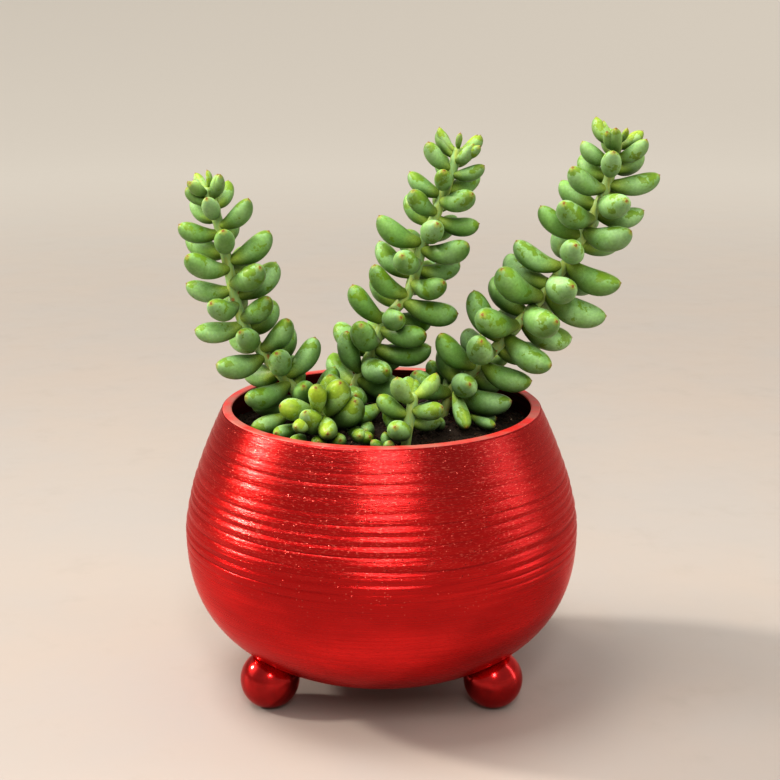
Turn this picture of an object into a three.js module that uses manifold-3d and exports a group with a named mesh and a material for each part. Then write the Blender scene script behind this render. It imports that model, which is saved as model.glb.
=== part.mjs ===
// Potted burros tail plant: a round metal bowl on three ball feet, filled with soil, with leafy
// trailing-sedum stems standing in it. Millimetres, +Z up, the feet rest on z = 0.
// Places are worked out round the bowl's own upright axis; the whole part is then shifted along X so
// that the origin lies under the middle of the bounding box.

import * as THREE from 'three';
import { mergeVertices } from 'three/addons/utils/BufferGeometryUtils.js';
import Module from 'manifold-3d';

const wasm = await Module();
wasm.setup();

// ---- Driving dimensions ------------------------------------------------------------------------

const POT_AXIS_X = -10.5;       // where the bowl's axis stands in the finished part
const SEAT_GAP = 0.3;           // clearance between pieces that rest on or in each other

const RIM_HEIGHT = 90.8;        // rim top above the surface
const RIM_RADIUS = 48.6;        // outer edge of the rim
const RIM_BEVEL = 0.4;          // small bevel on the rim's outer edge
const WALL = 2.9;
const BELLY_RADIUS = 60.7;      // widest place of the bowl
const BELLY_HEIGHT = 52.8;
const BOWL_BOTTOM = 7.3;        // underside of the bowl above the surface
const SHOULDER_POWER = 1.55;    // curve of the wall from the belly up to the rim
const KEEL_POWER = 2.5;         // curve of the wall from the belly down to the bottom
const POT_SIDES = 40;
const KEEL_STEPS = 6;           // rings from the bottom up to the belly
const SHOULDER_STEPS = 5;       // rings from the belly up to the rim

const FOOT_RADIUS = 9.1;
const FOOT_HEIGHT = 8.6;        // ball centre above the surface, so the ball has a small flat spot
const FOOT_CIRCLE = 39.6;       // the balls' centres lie on this radius
const FOOT_SIDES = 12;

const SOIL_AT_WALL = 81.6;      // soil surface beside the wall
const SOIL_MIDDLE = 86.2;       // soil surface at the top of the mound
const SOIL_BUMP = 0.7;          // height of the clods
// The clods are three crossing waves: radians per mm across, radians per mm to the back, start
const CLOD_WAVES = [[0.61, 0.23, 0], [0.19, -0.83, 1.3], [1.07, 0.71, 2.1]];
const SOIL_SIDES = 28;
const SOIL_RINGS = 5;           // rings of the soil's surface
const SOIL_STEPS = 2;           // rings of its side from the belly up to the surface

const STEM_RADIUS = 1.45;
const STEM_TIP_SHARE = 0.7;     // the stem's radius at its tip, as a share of its foot's
const STEM_SIDES = 6;
const STEM_STEP = 7.5;          // distance between the stem's rings
const CURVE_STEPS = 12;         // straight pieces between two points of a stem's route
const TANGENT_REACH = 1.5;      // a stem's direction is taken this far to either side of a place
const HOLE_EXTRA = 2.5;         // how far the cutter of a stem's hole reaches out of the soil

const LEAF_SIDES = 6;
const LEAF_STATIONS = [0, 0.3, 0.62, 0.88];   // rings along a leaf, root to tip
const LEAF_ROOT_DEPTH = 0.85;   // how far inside the stem's skin a leaf starts
const LEAF_FLATNESS = 0.9;      // upper side's height as a share of the half width
const LEAF_KEEL = 1;            // underside's height as a share of the half width
const LEAF_BOW = 0.12;          // sag of a leaf below its chord, as a share of its length
const LEAF_FULLNESS = 1.06;     // makes up for what a leaf's flat sides cut off its round section
const LEAF_NECK = 0.3;          // half width at the root, as a share of the widest
const LEAF_WIDEST = 0.62;       // where a leaf is widest, as a share of its length
const LEAF_SWELL_POWER = 1.1;   // how late a leaf swells from its neck
const LEAF_POINT_POWER = 2.4;   // how late it narrows to its tip
const LEAF_CLEARANCE = 0.35;    // least distance between leaves of different stems

const POT_FINISH = { color: 0xa81a18, roughness: 0.35, metalness: 0.9 };
const FOOT_FINISH = { color: 0xa81a18, roughness: 0.25, metalness: 0.9 };
const SOIL_FINISH = { color: 0x2a201b, roughness: 0.95, metalness: 0 };
const STEM_FINISH = { color: 0x7fa55c, roughness: 0.5, metalness: 0 };
const YOUNG_FINISH = { color: 0x9dbb55, roughness: 0.5, metalness: 0 };

const FEET = { foot_front_left: 210, foot_front_right: 330, foot_back: 90 };   // degrees round the bowl

// The leafy stems. A route runs from the stem's foot in the soil to its growing tip, measured from the
// bowl's axis. Leaves follow one spiral from the tip down: leaf after leaf turns by the divergence, and
// the gaps, lengths and tilts go from their tip values to their low values.
//   turn       +1 or -1, the way the spiral runs;  phase, divergence  in degrees
//   firstGap, tipGap, lowGap, gapGrowth            distances along the stem; growth counted in leaves
//   tipTilt, lowTilt, tiltFade                     lean of a leaf towards the stem's tip, degrees over mm
//   tiltBend                                       extra lean of leaves on the stem's lower side
//   tipLength, lowLength, lengthFade               leaf lengths over mm below the tip
//   plumpness                                      width of a leaf as a share of its length
//   bareFoot                                       stretch at the foot without leaves
const SHOOTS = [
  {
    name: 'stem_left', seed: 9828, finish: STEM_FINISH,
    route: [[-17.5, 2, 73], [-18.5, 2, 82.5], [-25, 1, 92.5], [-37.5, -1, 109], [-43, -2, 120.5],
      [-47, -4, 142], [-49.5, -4.5, 152.5], [-51.5, -5, 157]],
    turn: 1, phase: 109.3, divergence: 140.25,
    firstGap: 0.69, tipGap: 0.81, lowGap: 2.28, gapGrowth: 3.6,
    tipTilt: 52.8, lowTilt: 18.5, tiltFade: 12.8, tiltBend: 13.2,
    tipLength: 6.4, lowLength: 15.1, lengthFade: 11.5, plumpness: 0.52, bareFoot: 16.5,
  },
  {
    name: 'stem_middle', seed: 9519, finish: STEM_FINISH,
    route: [[-11.5, 10, 73], [-11, 10, 82.5], [-9, 9.5, 92], [-3, 8.5, 105.5], [1.5, 8, 115.5],
      [8.5, 7, 124.5], [12.5, 6, 138.5], [17.5, 5, 151], [22, 4, 164.5], [23, 4, 168]],
    turn: -1, phase: 343.9, divergence: 137.57,
    firstGap: 1.44, tipGap: 1, lowGap: 2.25, gapGrowth: 8.3,
    tipTilt: 67.5, lowTilt: 19.5, tiltFade: 4.8, tiltBend: 12,
    tipLength: 8.2, lowLength: 17, lengthFade: 22.7, plumpness: 0.51, bareFoot: 17.5,
  },
  {
    name: 'stem_right', seed: 4694, finish: STEM_FINISH,
    route: [[17, 4, 73], [18, 4, 83], [21.5, 3, 93.5], [28.5, 2, 101], [43, 0, 117.5],
      [52, -1, 129.5], [60.5, -2, 144], [66.5, -3, 158.5], [69, -3, 170.5]],
    turn: 1, phase: 192.9, divergence: 139.97,
    firstGap: 0.4, tipGap: 0.8, lowGap: 2.31, gapGrowth: 9,
    tipTilt: 40, lowTilt: 9.3, tiltFade: 14.3, tiltBend: 17.5,
    tipLength: 8.8, lowLength: 17.6, lengthFade: 15.6, plumpness: 0.51, bareFoot: 18,
  },
  {
    name: 'sprig_front', seed: 2439, finish: YOUNG_FINISH,
    route: [[6.5, -24, 76], [7, -24, 84.5], [8, -23.5, 91], [9, -23, 96], [9.3, -22.8, 99.5]],
    turn: 1, phase: 345, divergence: 139.9,
    firstGap: 0.4, tipGap: 0.9, lowGap: 2.1, gapGrowth: 2,
    tipTilt: 55, lowTilt: 9, tiltFade: 4.3, tiltBend: 5,
    tipLength: 10, lowLength: 11.6, lengthFade: 7, plumpness: 0.6, bareFoot: 9.5,
  },
  {
    name: 'shoot_front_left', seed: 3823, finish: YOUNG_FINISH,
    route: [[-12.5, -8, 75], [-13.5, -10, 84], [-16, -14.5, 89.5], [-18.5, -20, 92.3],
      [-19.5, -23, 93.2]],
    turn: 1, phase: 184.3, divergence: 135.3,
    firstGap: 0.4, tipGap: 1.1, lowGap: 2.1, gapGrowth: 2,
    tipTilt: 57, lowTilt: 19.5, tiltFade: 5.7, tiltBend: 6.4,
    tipLength: 8.7, lowLength: 15, lengthFade: 4, plumpness: 0.6, bareFoot: 9,
  },
  {
    name: 'shoot_back_right', seed: 41, finish: YOUNG_FINISH,
    route: [[21, 19, 74], [22, 20, 83.5], [24.5, 21, 90], [29, 22, 96], [33, 22.5, 99]],
    turn: 1, phase: 60, divergence: 137.5,
    firstGap: 0.8, tipGap: 1.1, lowGap: 2.7, gapGrowth: 3,
    tipTilt: 55, lowTilt: 18, tiltFade: 7, tiltBend: 10,
    tipLength: 8, lowLength: 14.5, lengthFade: 10, plumpness: 0.55, bareFoot: 11,
  },
];

// Seeded wobble that makes the leaves uneven, as they grow
const DRAW_FACTOR = 16807;      // minimal standard generator
const DRAW_MODULUS = 2147483647;
const FIRST_DRAWS = 3;          // draws thrown away, since they follow the seed closely
const TURN_WOBBLE = 12;         // degrees round the stem
const TILT_WOBBLE = 8;          // degrees of lean
const LENGTH_WOBBLE = 0.1;      // share of the length
const BOW_WOBBLE = 0.03;
const WIDTH_WOBBLE = 0.03;

// A leaf that would touch another stem, the soil or the rim is bent clear: these shifts are tried,
// smallest first, and the leaf is made shorter only when no shift clears it
const TURN_SHIFTS = [0, 8, -8, 16, -16, 26, -26, 38, -38];
const TILT_SHIFTS = [0, 8, -8, 16, -16, 26, -26, 38, -38, 50];
const LENGTH_SHARES = [1, 0.88, 0.76, 0.64];
const PROBES = [0.12, 0.25, 0.38, 0.51, 0.64, 0.77, 0.89, 0.97];   // where a leaf's room is tested
const STEM_PROBE_STEP = 1.5;    // the same along a stem, in mm

const MERGE_REACH = 1e-5;       // corners closer than this are one corner

// ---- Small vector and curve helpers --------------------------------------------------------------

const radians = (degrees) => (degrees * Math.PI) / 180;
const add = (a, b) => [a[0] + b[0], a[1] + b[1], a[2] + b[2]];
const scaled = (a, k) => [a[0] * k, a[1] * k, a[2] * k];
const minus = (a, b) => [a[0] - b[0], a[1] - b[1], a[2] - b[2]];
const cross = (a, b) => [
  a[1] * b[2] - a[2] * b[1],
  a[2] * b[0] - a[0] * b[2],
  a[0] * b[1] - a[1] * b[0],
];
const length = (a) => Math.sqrt(a[0] * a[0] + a[1] * a[1] + a[2] * a[2]);
const unit = (a) => scaled(a, 1 / length(a));

// Draws between -1 and 1 from a seeded sequence
function drawsFrom(seed) {
  let state = seed;
  return () => {
    state = (state * DRAW_FACTOR) % DRAW_MODULUS;
    return (2 * state) / DRAW_MODULUS - 1;
  };
}

// Smooth curve through the route's points, with its running length
function smoothRoute(points) {
  const last = points.length - 1;
  const padded = [
    minus(scaled(points[0], 2), points[1]),
    ...points,
    minus(scaled(points[last], 2), points[last - 1]),
  ];
  const line = [];
  for (let i = 1; i <= last; i += 1) {
    const [a, b, c, d] = padded.slice(i - 1, i + 3);
    for (let k = 0; k < CURVE_STEPS; k += 1) {
      const t = k / CURVE_STEPS;
      line.push([0, 1, 2].map((n) => 0.5 * (2 * b[n] + (c[n] - a[n]) * t
        + (2 * a[n] - 5 * b[n] + 4 * c[n] - d[n]) * t * t
        + (3 * b[n] - a[n] - 3 * c[n] + d[n]) * t * t * t)));
    }
  }
  line.push(points[last]);
  const along = [0];
  for (let i = 1; i < line.length; i += 1) {
    along.push(along[i - 1] + length(minus(line[i], line[i - 1])));
  }
  return { line, along, total: along[along.length - 1] };
}

function pointOn(route, distance) {
  const s = Math.min(Math.max(distance, 0), route.total);
  let i = 0;
  while (i < route.line.length - 2 && route.along[i + 1] <= s) i += 1;
  const share = (s - route.along[i]) / (route.along[i + 1] - route.along[i]);
  return add(route.line[i], scaled(minus(route.line[i + 1], route.line[i]), share));
}

// Axes of the stem at a distance from its foot: along it, to its right and to its front
function axesOn(route, distance) {
  const ahead = pointOn(route, distance + TANGENT_REACH);
  const along = unit(minus(ahead, pointOn(route, distance - TANGENT_REACH)));
  const right = unit(cross(along, [0, -1, 0]));
  return { along, right, front: cross(right, along) };
}

// ---- Solids --------------------------------------------------------------------------------------

function solidFrom(geometry) {
  const bare = geometry.clone();
  bare.deleteAttribute('normal');
  bare.deleteAttribute('uv');
  const merged = mergeVertices(bare, MERGE_REACH);
  const corners = Array.from(merged.index.array);
  const triVerts = [];
  for (let i = 0; i < corners.length; i += 3) {
    const [a, b, c] = corners.slice(i, i + 3);
    if (a !== b && b !== c && c !== a) triVerts.push(a, b, c);
  }
  return new wasm.Manifold(new wasm.Mesh({
    numProp: 3,
    vertProperties: new Float32Array(merged.attributes.position.array),
    triVerts: new Uint32Array(triVerts),
  }));
}

function bodyFrom(positions, triangles) {
  const geometry = new THREE.BufferGeometry();
  geometry.setAttribute('position', new THREE.Float32BufferAttribute(positions.flat(), 3));
  geometry.setIndex(triangles.flat());
  return geometry;
}

// A closed body through rings of equally many points, with a flat start and a pointed or flat end
function ringBody(rings, tip) {
  const sides = rings[0].length;
  const positions = rings.flat();
  const triangles = [];
  for (let k = 1; k < sides - 1; k += 1) triangles.push([0, k + 1, k]);
  for (let r = 0; r < rings.length - 1; r += 1) {
    for (let k = 0; k < sides; k += 1) {
      const a = r * sides + k;
      const b = r * sides + ((k + 1) % sides);
      triangles.push([a, b, b + sides], [a, b + sides, a + sides]);
    }
  }
  const end = (rings.length - 1) * sides;
  if (tip) {
    positions.push(tip);
    const point = positions.length - 1;
    for (let k = 0; k < sides; k += 1) triangles.push([end + k, end + ((k + 1) % sides), point]);
  } else {
    for (let k = 1; k < sides - 1; k += 1) triangles.push([end, end + k, end + k + 1]);
  }
  return bodyFrom(positions, triangles);
}

// The largest closed skin of a joined solid: sealed hollows and loose scraps are left out
function largestSkin(solid) {
  const { vertProperties, triVerts } = solid.getMesh();
  const parent = Array.from({ length: vertProperties.length / 3 }, (_, i) => i);
  const top = (i) => {
    let node = i;
    while (parent[node] !== node) {
      parent[node] = parent[parent[node]];
      node = parent[node];
    }
    return node;
  };
  for (let i = 0; i < triVerts.length; i += 3) {
    parent[top(triVerts[i + 1])] = top(triVerts[i]);
    parent[top(triVerts[i + 2])] = top(triVerts[i]);
  }
  const groups = new Map();
  for (let i = 0; i < triVerts.length; i += 3) {
    const key = top(triVerts[i]);
    if (!groups.has(key)) groups.set(key, []);
    groups.get(key).push(triVerts[i], triVerts[i + 1], triVerts[i + 2]);
  }
  const largest = [...groups.values()].reduce((a, b) => (b.length > a.length ? b : a));
  const geometry = new THREE.BufferGeometry();
  geometry.setAttribute('position', new THREE.BufferAttribute(new Float32Array(vertProperties), 3));
  geometry.setIndex(largest);
  return geometry;
}

// ---- Pot and feet --------------------------------------------------------------------------------

// Radius of the bowl's outer face, grown by an offset, at a height
function bowlRadius(height, offset = 0) {
  if (height >= BELLY_HEIGHT) {
    const share = (height - BELLY_HEIGHT) / (RIM_HEIGHT - BELLY_HEIGHT);
    return BELLY_RADIUS + offset - (BELLY_RADIUS - RIM_RADIUS) * share ** SHOULDER_POWER;
  }
  const depth = BELLY_HEIGHT - BOWL_BOTTOM + offset;
  const share = Math.min((BELLY_HEIGHT - height) / depth, 1);
  return (BELLY_RADIUS + offset) * (1 - share ** KEEL_POWER) ** (1 / KEEL_POWER);
}

// Profile of the bowl, grown by an offset, from the axis at the bottom round the keel and up the wall
function bowlProfile(offset, topHeight, shoulderSteps) {
  const depth = BELLY_HEIGHT - BOWL_BOTTOM + offset;
  const profile = [[0, BELLY_HEIGHT - depth]];
  for (let i = 1; i < KEEL_STEPS; i += 1) {
    const height = BELLY_HEIGHT - depth * Math.cos((i / KEEL_STEPS) * (Math.PI / 2)) ** (2 / KEEL_POWER);
    profile.push([bowlRadius(height, offset), height]);
  }
  for (let i = 0; i <= shoulderSteps; i += 1) {
    const height = BELLY_HEIGHT + (topHeight - BELLY_HEIGHT) * (i / shoulderSteps);
    profile.push([bowlRadius(height, offset), height]);
  }
  return profile;
}

function turned(profile) {
  const points = profile.map(([radius, height]) => new THREE.Vector2(radius, height));
  return new THREE.LatheGeometry(points, POT_SIDES).rotateX(Math.PI / 2);
}

function potGeometry() {
  const outside = bowlProfile(0, RIM_HEIGHT - RIM_BEVEL, SHOULDER_STEPS);
  const inside = bowlProfile(-WALL, RIM_HEIGHT, SHOULDER_STEPS);
  const rim = [[RIM_RADIUS - RIM_BEVEL, RIM_HEIGHT]];
  return turned([...outside, ...rim, ...inside.reverse()]);
}

// A ball with a flat spot below, its top cut to the bowl's curve with a gap
function footGeometry(angle) {
  const ball = new THREE.SphereGeometry(FOOT_RADIUS, FOOT_SIDES, FOOT_SIDES / 2).rotateX(Math.PI / 2);
  ball.translate(FOOT_CIRCLE * Math.cos(angle), FOOT_CIRCLE * Math.sin(angle), FOOT_HEIGHT);
  const bowl = turned([...bowlProfile(SEAT_GAP, RIM_HEIGHT, SHOULDER_STEPS), [0, RIM_HEIGHT]]);
  const ground = new THREE.BoxGeometry(4 * FOOT_CIRCLE, 4 * FOOT_CIRCLE, 2 * FOOT_RADIUS);
  ground.translate(0, 0, -FOOT_RADIUS);
  return largestSkin(solidFrom(ball).subtract(solidFrom(bowl)).subtract(solidFrom(ground)));
}

// ---- Soil ----------------------------------------------------------------------------------------

// Mounded surface of the soil without its clods, and the height of the clods on it
const SOIL_RADIUS = bowlRadius(SOIL_AT_WALL, -WALL - SEAT_GAP);
function soilMound(x, y) {
  const share = Math.min(Math.hypot(x, y) / SOIL_RADIUS, 1);
  return SOIL_MIDDLE - (SOIL_MIDDLE - SOIL_AT_WALL) * share * share;
}
function soilClods(x, y) {
  const waves = CLOD_WAVES.map(([across, back, start]) => Math.sin(across * x + back * y + start));
  return (SOIL_BUMP / waves.length) * waves.reduce((a, b) => a + b);
}

// Triangles between two neighbouring rings of points, given by their first corners
function band(lower, upper, sides) {
  const triangles = [];
  for (let k = 0; k < sides; k += 1) {
    const n = (k + 1) % sides;
    triangles.push([lower + k, lower + n, upper + n], [lower + k, upper + n, upper + k]);
  }
  return triangles;
}

function soilGeometry() {
  const around = (radius, heightAt) => Array.from({ length: SOIL_SIDES }, (_, k) => {
    const angle = (2 * Math.PI * k) / SOIL_SIDES;
    const x = radius * Math.cos(angle);
    const y = radius * Math.sin(angle);
    return [x, y, heightAt(x, y)];
  });
  const flatness = Math.cos(Math.PI / SOIL_SIDES);
  const [foot, ...side] = bowlProfile(-WALL - SEAT_GAP, SOIL_AT_WALL, SOIL_STEPS).slice(0, -1);
  const rings = side.map(([radius, height]) => around(radius * flatness, () => height));
  for (let i = SOIL_RINGS; i > 0; i -= 1) {
    const radius = SOIL_RADIUS * flatness * (i / SOIL_RINGS);
    const clods = i === SOIL_RINGS ? 0 : 1;
    rings.push(around(radius, (x, y) => soilMound(x, y) + clods * soilClods(x, y)));
  }
  const top = [0, 0, soilMound(0, 0) + soilClods(0, 0)];
  const positions = [[0, 0, foot[1]], ...rings.flat(), top];
  const triangles = [];
  const last = positions.length - 1;
  const lastRing = 1 + (rings.length - 1) * SOIL_SIDES;
  for (let k = 0; k < SOIL_SIDES; k += 1) {
    const n = (k + 1) % SOIL_SIDES;
    triangles.push([0, 1 + n, 1 + k], [lastRing + k, lastRing + n, last]);
  }
  for (let r = 0; r < rings.length - 1; r += 1) {
    triangles.push(...band(1 + r * SOIL_SIDES, 1 + (r + 1) * SOIL_SIDES, SOIL_SIDES));
  }
  return bodyFrom(positions, triangles);
}

// ---- Leafy stems ---------------------------------------------------------------------------------

const routes = SHOOTS.map((shoot) => smoothRoute(shoot.route));

const RIM_OPENING = RIM_RADIUS - WALL;
const stemRadiusAt = (share) => STEM_RADIUS * (1 - (1 - STEM_TIP_SHARE) * share);

// Half width along a leaf, as a share of the widest: a narrow neck, a plump middle, a pointed end
function leafProfile(t) {
  const swell = Math.sin((Math.PI / 2) * Math.min(1, t / LEAF_WIDEST)) ** LEAF_SWELL_POWER;
  const body = LEAF_NECK + (1 - LEAF_NECK) * swell;
  if (t <= LEAF_WIDEST) return body;
  const beyond = (t - LEAF_WIDEST) / (1 - LEAF_WIDEST);
  return body * Math.sqrt(Math.max(0, 1 - beyond ** LEAF_POINT_POWER));
}

// A leaf's place: its root on the stem, its chord, its upper side's direction and its sizes
function leafAt(route, leaf, shift) {
  const { along, right, front } = axesOn(route, leaf.height);
  const turn = leaf.turn + radians(shift.turn);
  const outward = add(scaled(right, Math.cos(turn)), scaled(front, Math.sin(turn)));
  const tilt = leaf.tilt + radians(shift.tilt) - radians(leaf.bend) * outward[2];
  const chord = add(scaled(outward, Math.cos(tilt)), scaled(along, Math.sin(tilt)));
  const upper = add(scaled(outward, -Math.sin(tilt)), scaled(along, Math.cos(tilt)));
  const size = leaf.length * shift.length;
  return {
    root: add(pointOn(route, leaf.height), scaled(outward, STEM_RADIUS - LEAF_ROOT_DEPTH)),
    chord,
    upper,
    side: cross(along, outward),
    size,
    bow: leaf.bow,
    halfWidth: (leaf.width * size) / 2,
  };
}

// Middle of a leaf at a share of its length, with its local upper direction
function leafSection(leaf, t) {
  const sag = 4 * leaf.bow * t * (1 - t);
  const lean = 4 * leaf.bow * (1 - 2 * t);
  return {
    middle: add(leaf.root, add(scaled(leaf.chord, leaf.size * t), scaled(leaf.upper, -leaf.size * sag))),
    upper: unit(add(leaf.upper, scaled(leaf.chord, lean))),
  };
}

function leafBody(leaf) {
  const rings = LEAF_STATIONS.map((t) => {
    const { middle, upper } = leafSection(leaf, t);
    const half = leaf.halfWidth * leafProfile(t) * LEAF_FULLNESS;
    return Array.from({ length: LEAF_SIDES }, (_, k) => {
      const angle = (2 * Math.PI * k) / LEAF_SIDES;
      const lift = Math.sin(angle) * (Math.sin(angle) > 0 ? LEAF_FLATNESS : LEAF_KEEL);
      return add(middle, add(scaled(leaf.side, half * Math.cos(angle)), scaled(upper, half * lift)));
    });
  });
  return ringBody(rings, leafSection(leaf, 1).middle);
}

// The spiral of a shoot, from its tip down, before any leaf is bent clear
function spiralOf(shoot, route) {
  const draw = drawsFrom(shoot.seed);
  for (let i = 0; i < FIRST_DRAWS; i += 1) draw();
  const leaves = [];
  let below = shoot.firstGap;
  for (let i = 0; below < route.total - shoot.bareFoot; i += 1) {
    const turnDraw = draw();
    const tiltDraw = draw();
    const lengthDraw = draw();
    const bowDraw = draw();
    const widthDraw = draw();
    const tilt = shoot.lowTilt + (shoot.tipTilt - shoot.lowTilt) * Math.exp(-below / shoot.tiltFade);
    const size = shoot.lowLength
      - (shoot.lowLength - shoot.tipLength) * Math.exp(-below / shoot.lengthFade);
    leaves.push({
      height: route.total - below,
      turn: radians(shoot.phase + shoot.turn * shoot.divergence * i + TURN_WOBBLE * turnDraw),
      tilt: radians(tilt + TILT_WOBBLE * tiltDraw),
      bend: shoot.tiltBend,
      length: size * (1 + LENGTH_WOBBLE * lengthDraw),
      bow: LEAF_BOW + BOW_WOBBLE * bowDraw,
      width: shoot.plumpness + WIDTH_WOBBLE * widthDraw,
    });
    below += shoot.lowGap - (shoot.lowGap - shoot.tipGap) * Math.exp(-i / shoot.gapGrowth);
  }
  return leaves;
}

// Shifts in order of their size, the shorter leaves last
const bendOf = (shift) => Math.abs(shift.turn) + Math.abs(shift.tilt);
const SHIFTS = LENGTH_SHARES.flatMap((length) => {
  const pairs = TURN_SHIFTS.flatMap((turn) => TILT_SHIFTS.map((tilt) => ({ turn, tilt, length })));
  return pairs.sort((a, b) => bendOf(a) - bendOf(b));
});

function stemProbes(route, owner) {
  const probes = [];
  for (let s = 0; s <= route.total; s += STEM_PROBE_STEP) {
    probes.push({ at: pointOn(route, s), radius: STEM_RADIUS, owner });
  }
  return probes;
}

function leafProbes(leaf, owner) {
  return PROBES.map((t) => ({
    at: leafSection(leaf, t).middle,
    radius: leaf.halfWidth * leafProfile(t) * LEAF_FULLNESS,
    owner,
  }));
}

// Whether a ball at a leaf's probe is clear of the rim, the soil and every other stem
function hasRoom(probe, standing) {
  const [x, y, z] = probe.at;
  const reach = Math.sqrt(x * x + y * y) + probe.radius + LEAF_CLEARANCE;
  const lowest = z - probe.radius - LEAF_CLEARANCE;
  if (lowest < RIM_HEIGHT && reach > RIM_OPENING) return false;
  if (lowest < soilMound(x, y) + SOIL_BUMP) return false;
  return standing.every((other) => {
    if (other.owner === probe.owner) return true;
    const apart = minus(other.at, probe.at);
    const room = other.radius + probe.radius + LEAF_CLEARANCE;
    return apart[0] * apart[0] + apart[1] * apart[1] + apart[2] * apart[2] > room * room;
  });
}

// Every shoot's leaves in their final places
function placedLeaves() {
  const standing = routes.flatMap((route, owner) => stemProbes(route, owner));
  return SHOOTS.map((shoot, owner) => {
    const placed = [];
    for (const leaf of spiralOf(shoot, routes[owner])) {
      for (const shift of SHIFTS) {
        const candidate = leafAt(routes[owner], leaf, shift);
        const probes = leafProbes(candidate, owner);
        if (probes.every((probe) => hasRoom(probe, standing))) {
          placed.push(candidate);
          standing.push(...probes);
          break;
        }
      }
    }
    return placed;
  });
}

function stemRing(route, distance, radius) {
  const { right, front } = axesOn(route, distance);
  const centre = pointOn(route, distance);
  return Array.from({ length: STEM_SIDES }, (_, k) => {
    const angle = (2 * Math.PI * k) / STEM_SIDES;
    const outward = add(scaled(front, Math.cos(angle)), scaled(right, Math.sin(angle)));
    return add(centre, scaled(outward, radius));
  });
}

function stemBody(route) {
  const steps = Math.round(route.total / STEM_STEP);
  const rings = [];
  for (let i = 0; i <= steps; i += 1) {
    rings.push(stemRing(route, (route.total * i) / steps, stemRadiusAt(i / steps)));
  }
  const { along } = axesOn(route, route.total);
  return ringBody(rings, add(pointOn(route, route.total), scaled(along, STEM_RADIUS / 2)));
}

// The plain hole that a stem stands in: the stem's own rings, grown by the gap, up to clear air
function holeBody(route) {
  const steps = Math.round(route.total / STEM_STEP);
  const { along } = axesOn(route, 0);
  const grown = (i) => stemRing(route, (route.total * i) / steps, stemRadiusAt(i / steps) + SEAT_GAP);
  const rings = [grown(0).map((point) => add(point, scaled(along, -SEAT_GAP)))];
  for (let i = 0; i <= steps; i += 1) {
    const [x, y, z] = pointOn(route, (route.total * i) / steps);
    rings.push(grown(i));
    if (z > soilMound(x, y) + HOLE_EXTRA) break;
  }
  return ringBody(rings, null);
}

function leafyStemGeometry(route, leaves) {
  let solid = solidFrom(stemBody(route));
  for (const leaf of leaves) solid = solid.add(solidFrom(leafBody(leaf)));
  return largestSkin(solid);
}

function soilWithHoles() {
  let soil = solidFrom(soilGeometry());
  for (const route of routes) soil = soil.subtract(solidFrom(holeBody(route)));
  return largestSkin(soil);
}

// ---- The part ------------------------------------------------------------------------------------

const group = new THREE.Group();

function addPiece(name, geometry, finish) {
  const piece = new THREE.Mesh(geometry, new THREE.MeshStandardMaterial(finish));
  piece.name = name;
  piece.position.set(POT_AXIS_X, 0, 0);
  group.add(piece);
}

addPiece('pot', potGeometry(), POT_FINISH);
for (const [name, degrees] of Object.entries(FEET)) {
  addPiece(name, footGeometry(radians(degrees)), FOOT_FINISH);
}
addPiece('soil', soilWithHoles(), SOIL_FINISH);
const leavesOf = placedLeaves();
SHOOTS.forEach((shoot, i) => {
  addPiece(shoot.name, leafyStemGeometry(routes[i], leavesOf[i]), shoot.finish);
});

export default group;
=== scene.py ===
"""Looks of a potted burros tail plant.

A turned red metal bowl stands on three ball feet. It is filled with dark soil, and leafy stems stand
in the soil. The growth rule of the stems works in millimetres, measured from the bowl's own axis,
and every mesh is made in metres.
"""

import itertools
import math
import random

import bpy
import numpy as np
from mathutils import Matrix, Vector, noise


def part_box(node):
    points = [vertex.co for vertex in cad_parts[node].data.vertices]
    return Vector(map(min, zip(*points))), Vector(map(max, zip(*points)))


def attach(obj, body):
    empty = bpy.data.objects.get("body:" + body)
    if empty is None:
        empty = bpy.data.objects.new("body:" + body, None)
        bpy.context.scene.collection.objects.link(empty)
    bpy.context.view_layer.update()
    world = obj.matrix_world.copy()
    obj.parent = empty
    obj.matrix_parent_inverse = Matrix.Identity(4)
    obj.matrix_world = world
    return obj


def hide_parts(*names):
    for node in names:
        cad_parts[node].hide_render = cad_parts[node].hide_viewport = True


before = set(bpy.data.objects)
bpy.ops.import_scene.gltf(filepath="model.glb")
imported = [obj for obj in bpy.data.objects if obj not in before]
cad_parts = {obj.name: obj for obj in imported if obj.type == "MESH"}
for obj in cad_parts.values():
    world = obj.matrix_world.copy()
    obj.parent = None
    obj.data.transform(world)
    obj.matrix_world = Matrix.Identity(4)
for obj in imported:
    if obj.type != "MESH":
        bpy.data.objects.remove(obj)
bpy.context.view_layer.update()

bl_info = {
    "name": "Potted burros tail plant",
    "version": (1, 0, 0),
    "blender": (4, 5, 0),
    "location": "View3D > Sidebar > Plant",
    "description": "Builds a red metal bowl with soil and leafy trailing-sedum stems",
    "category": "Object",
}

MM = 0.001
BODY = "root"

# ---- The bowl, from the frame and the maker's sizes ------------------------------------------------

POT_LOW, POT_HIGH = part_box("pot")
POT_AXIS_X = (POT_LOW.x + POT_HIGH.x) / 2 / MM
BELLY_RADIUS = (POT_HIGH.x - POT_LOW.x) / 2 / MM
RIM_HEIGHT = POT_HIGH.z / MM
BOWL_BOTTOM = POT_LOW.z / MM
RIM_RADIUS = 48.6
WALL = 2.9
BELLY_HEIGHT = 52.8
SHOULDER_POWER = 1.55
KEEL_POWER = 2.5
SEAT_GAP = 0.3

FOOT_RADIUS = 9.1
FOOT_HEIGHT = 8.6
FOOT_CIRCLE = 39.6
FEET = {"foot_front_left": 210, "foot_front_right": 330, "foot_back": 90}

SOIL_AT_WALL = 81.6
SOIL_MIDDLE = 86.2
SOIL_BUMP = 0.7
CLOD_WAVES = ((0.61, 0.23, 0), (0.19, -0.83, 1.3), (1.07, 0.71, 2.1))

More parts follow.
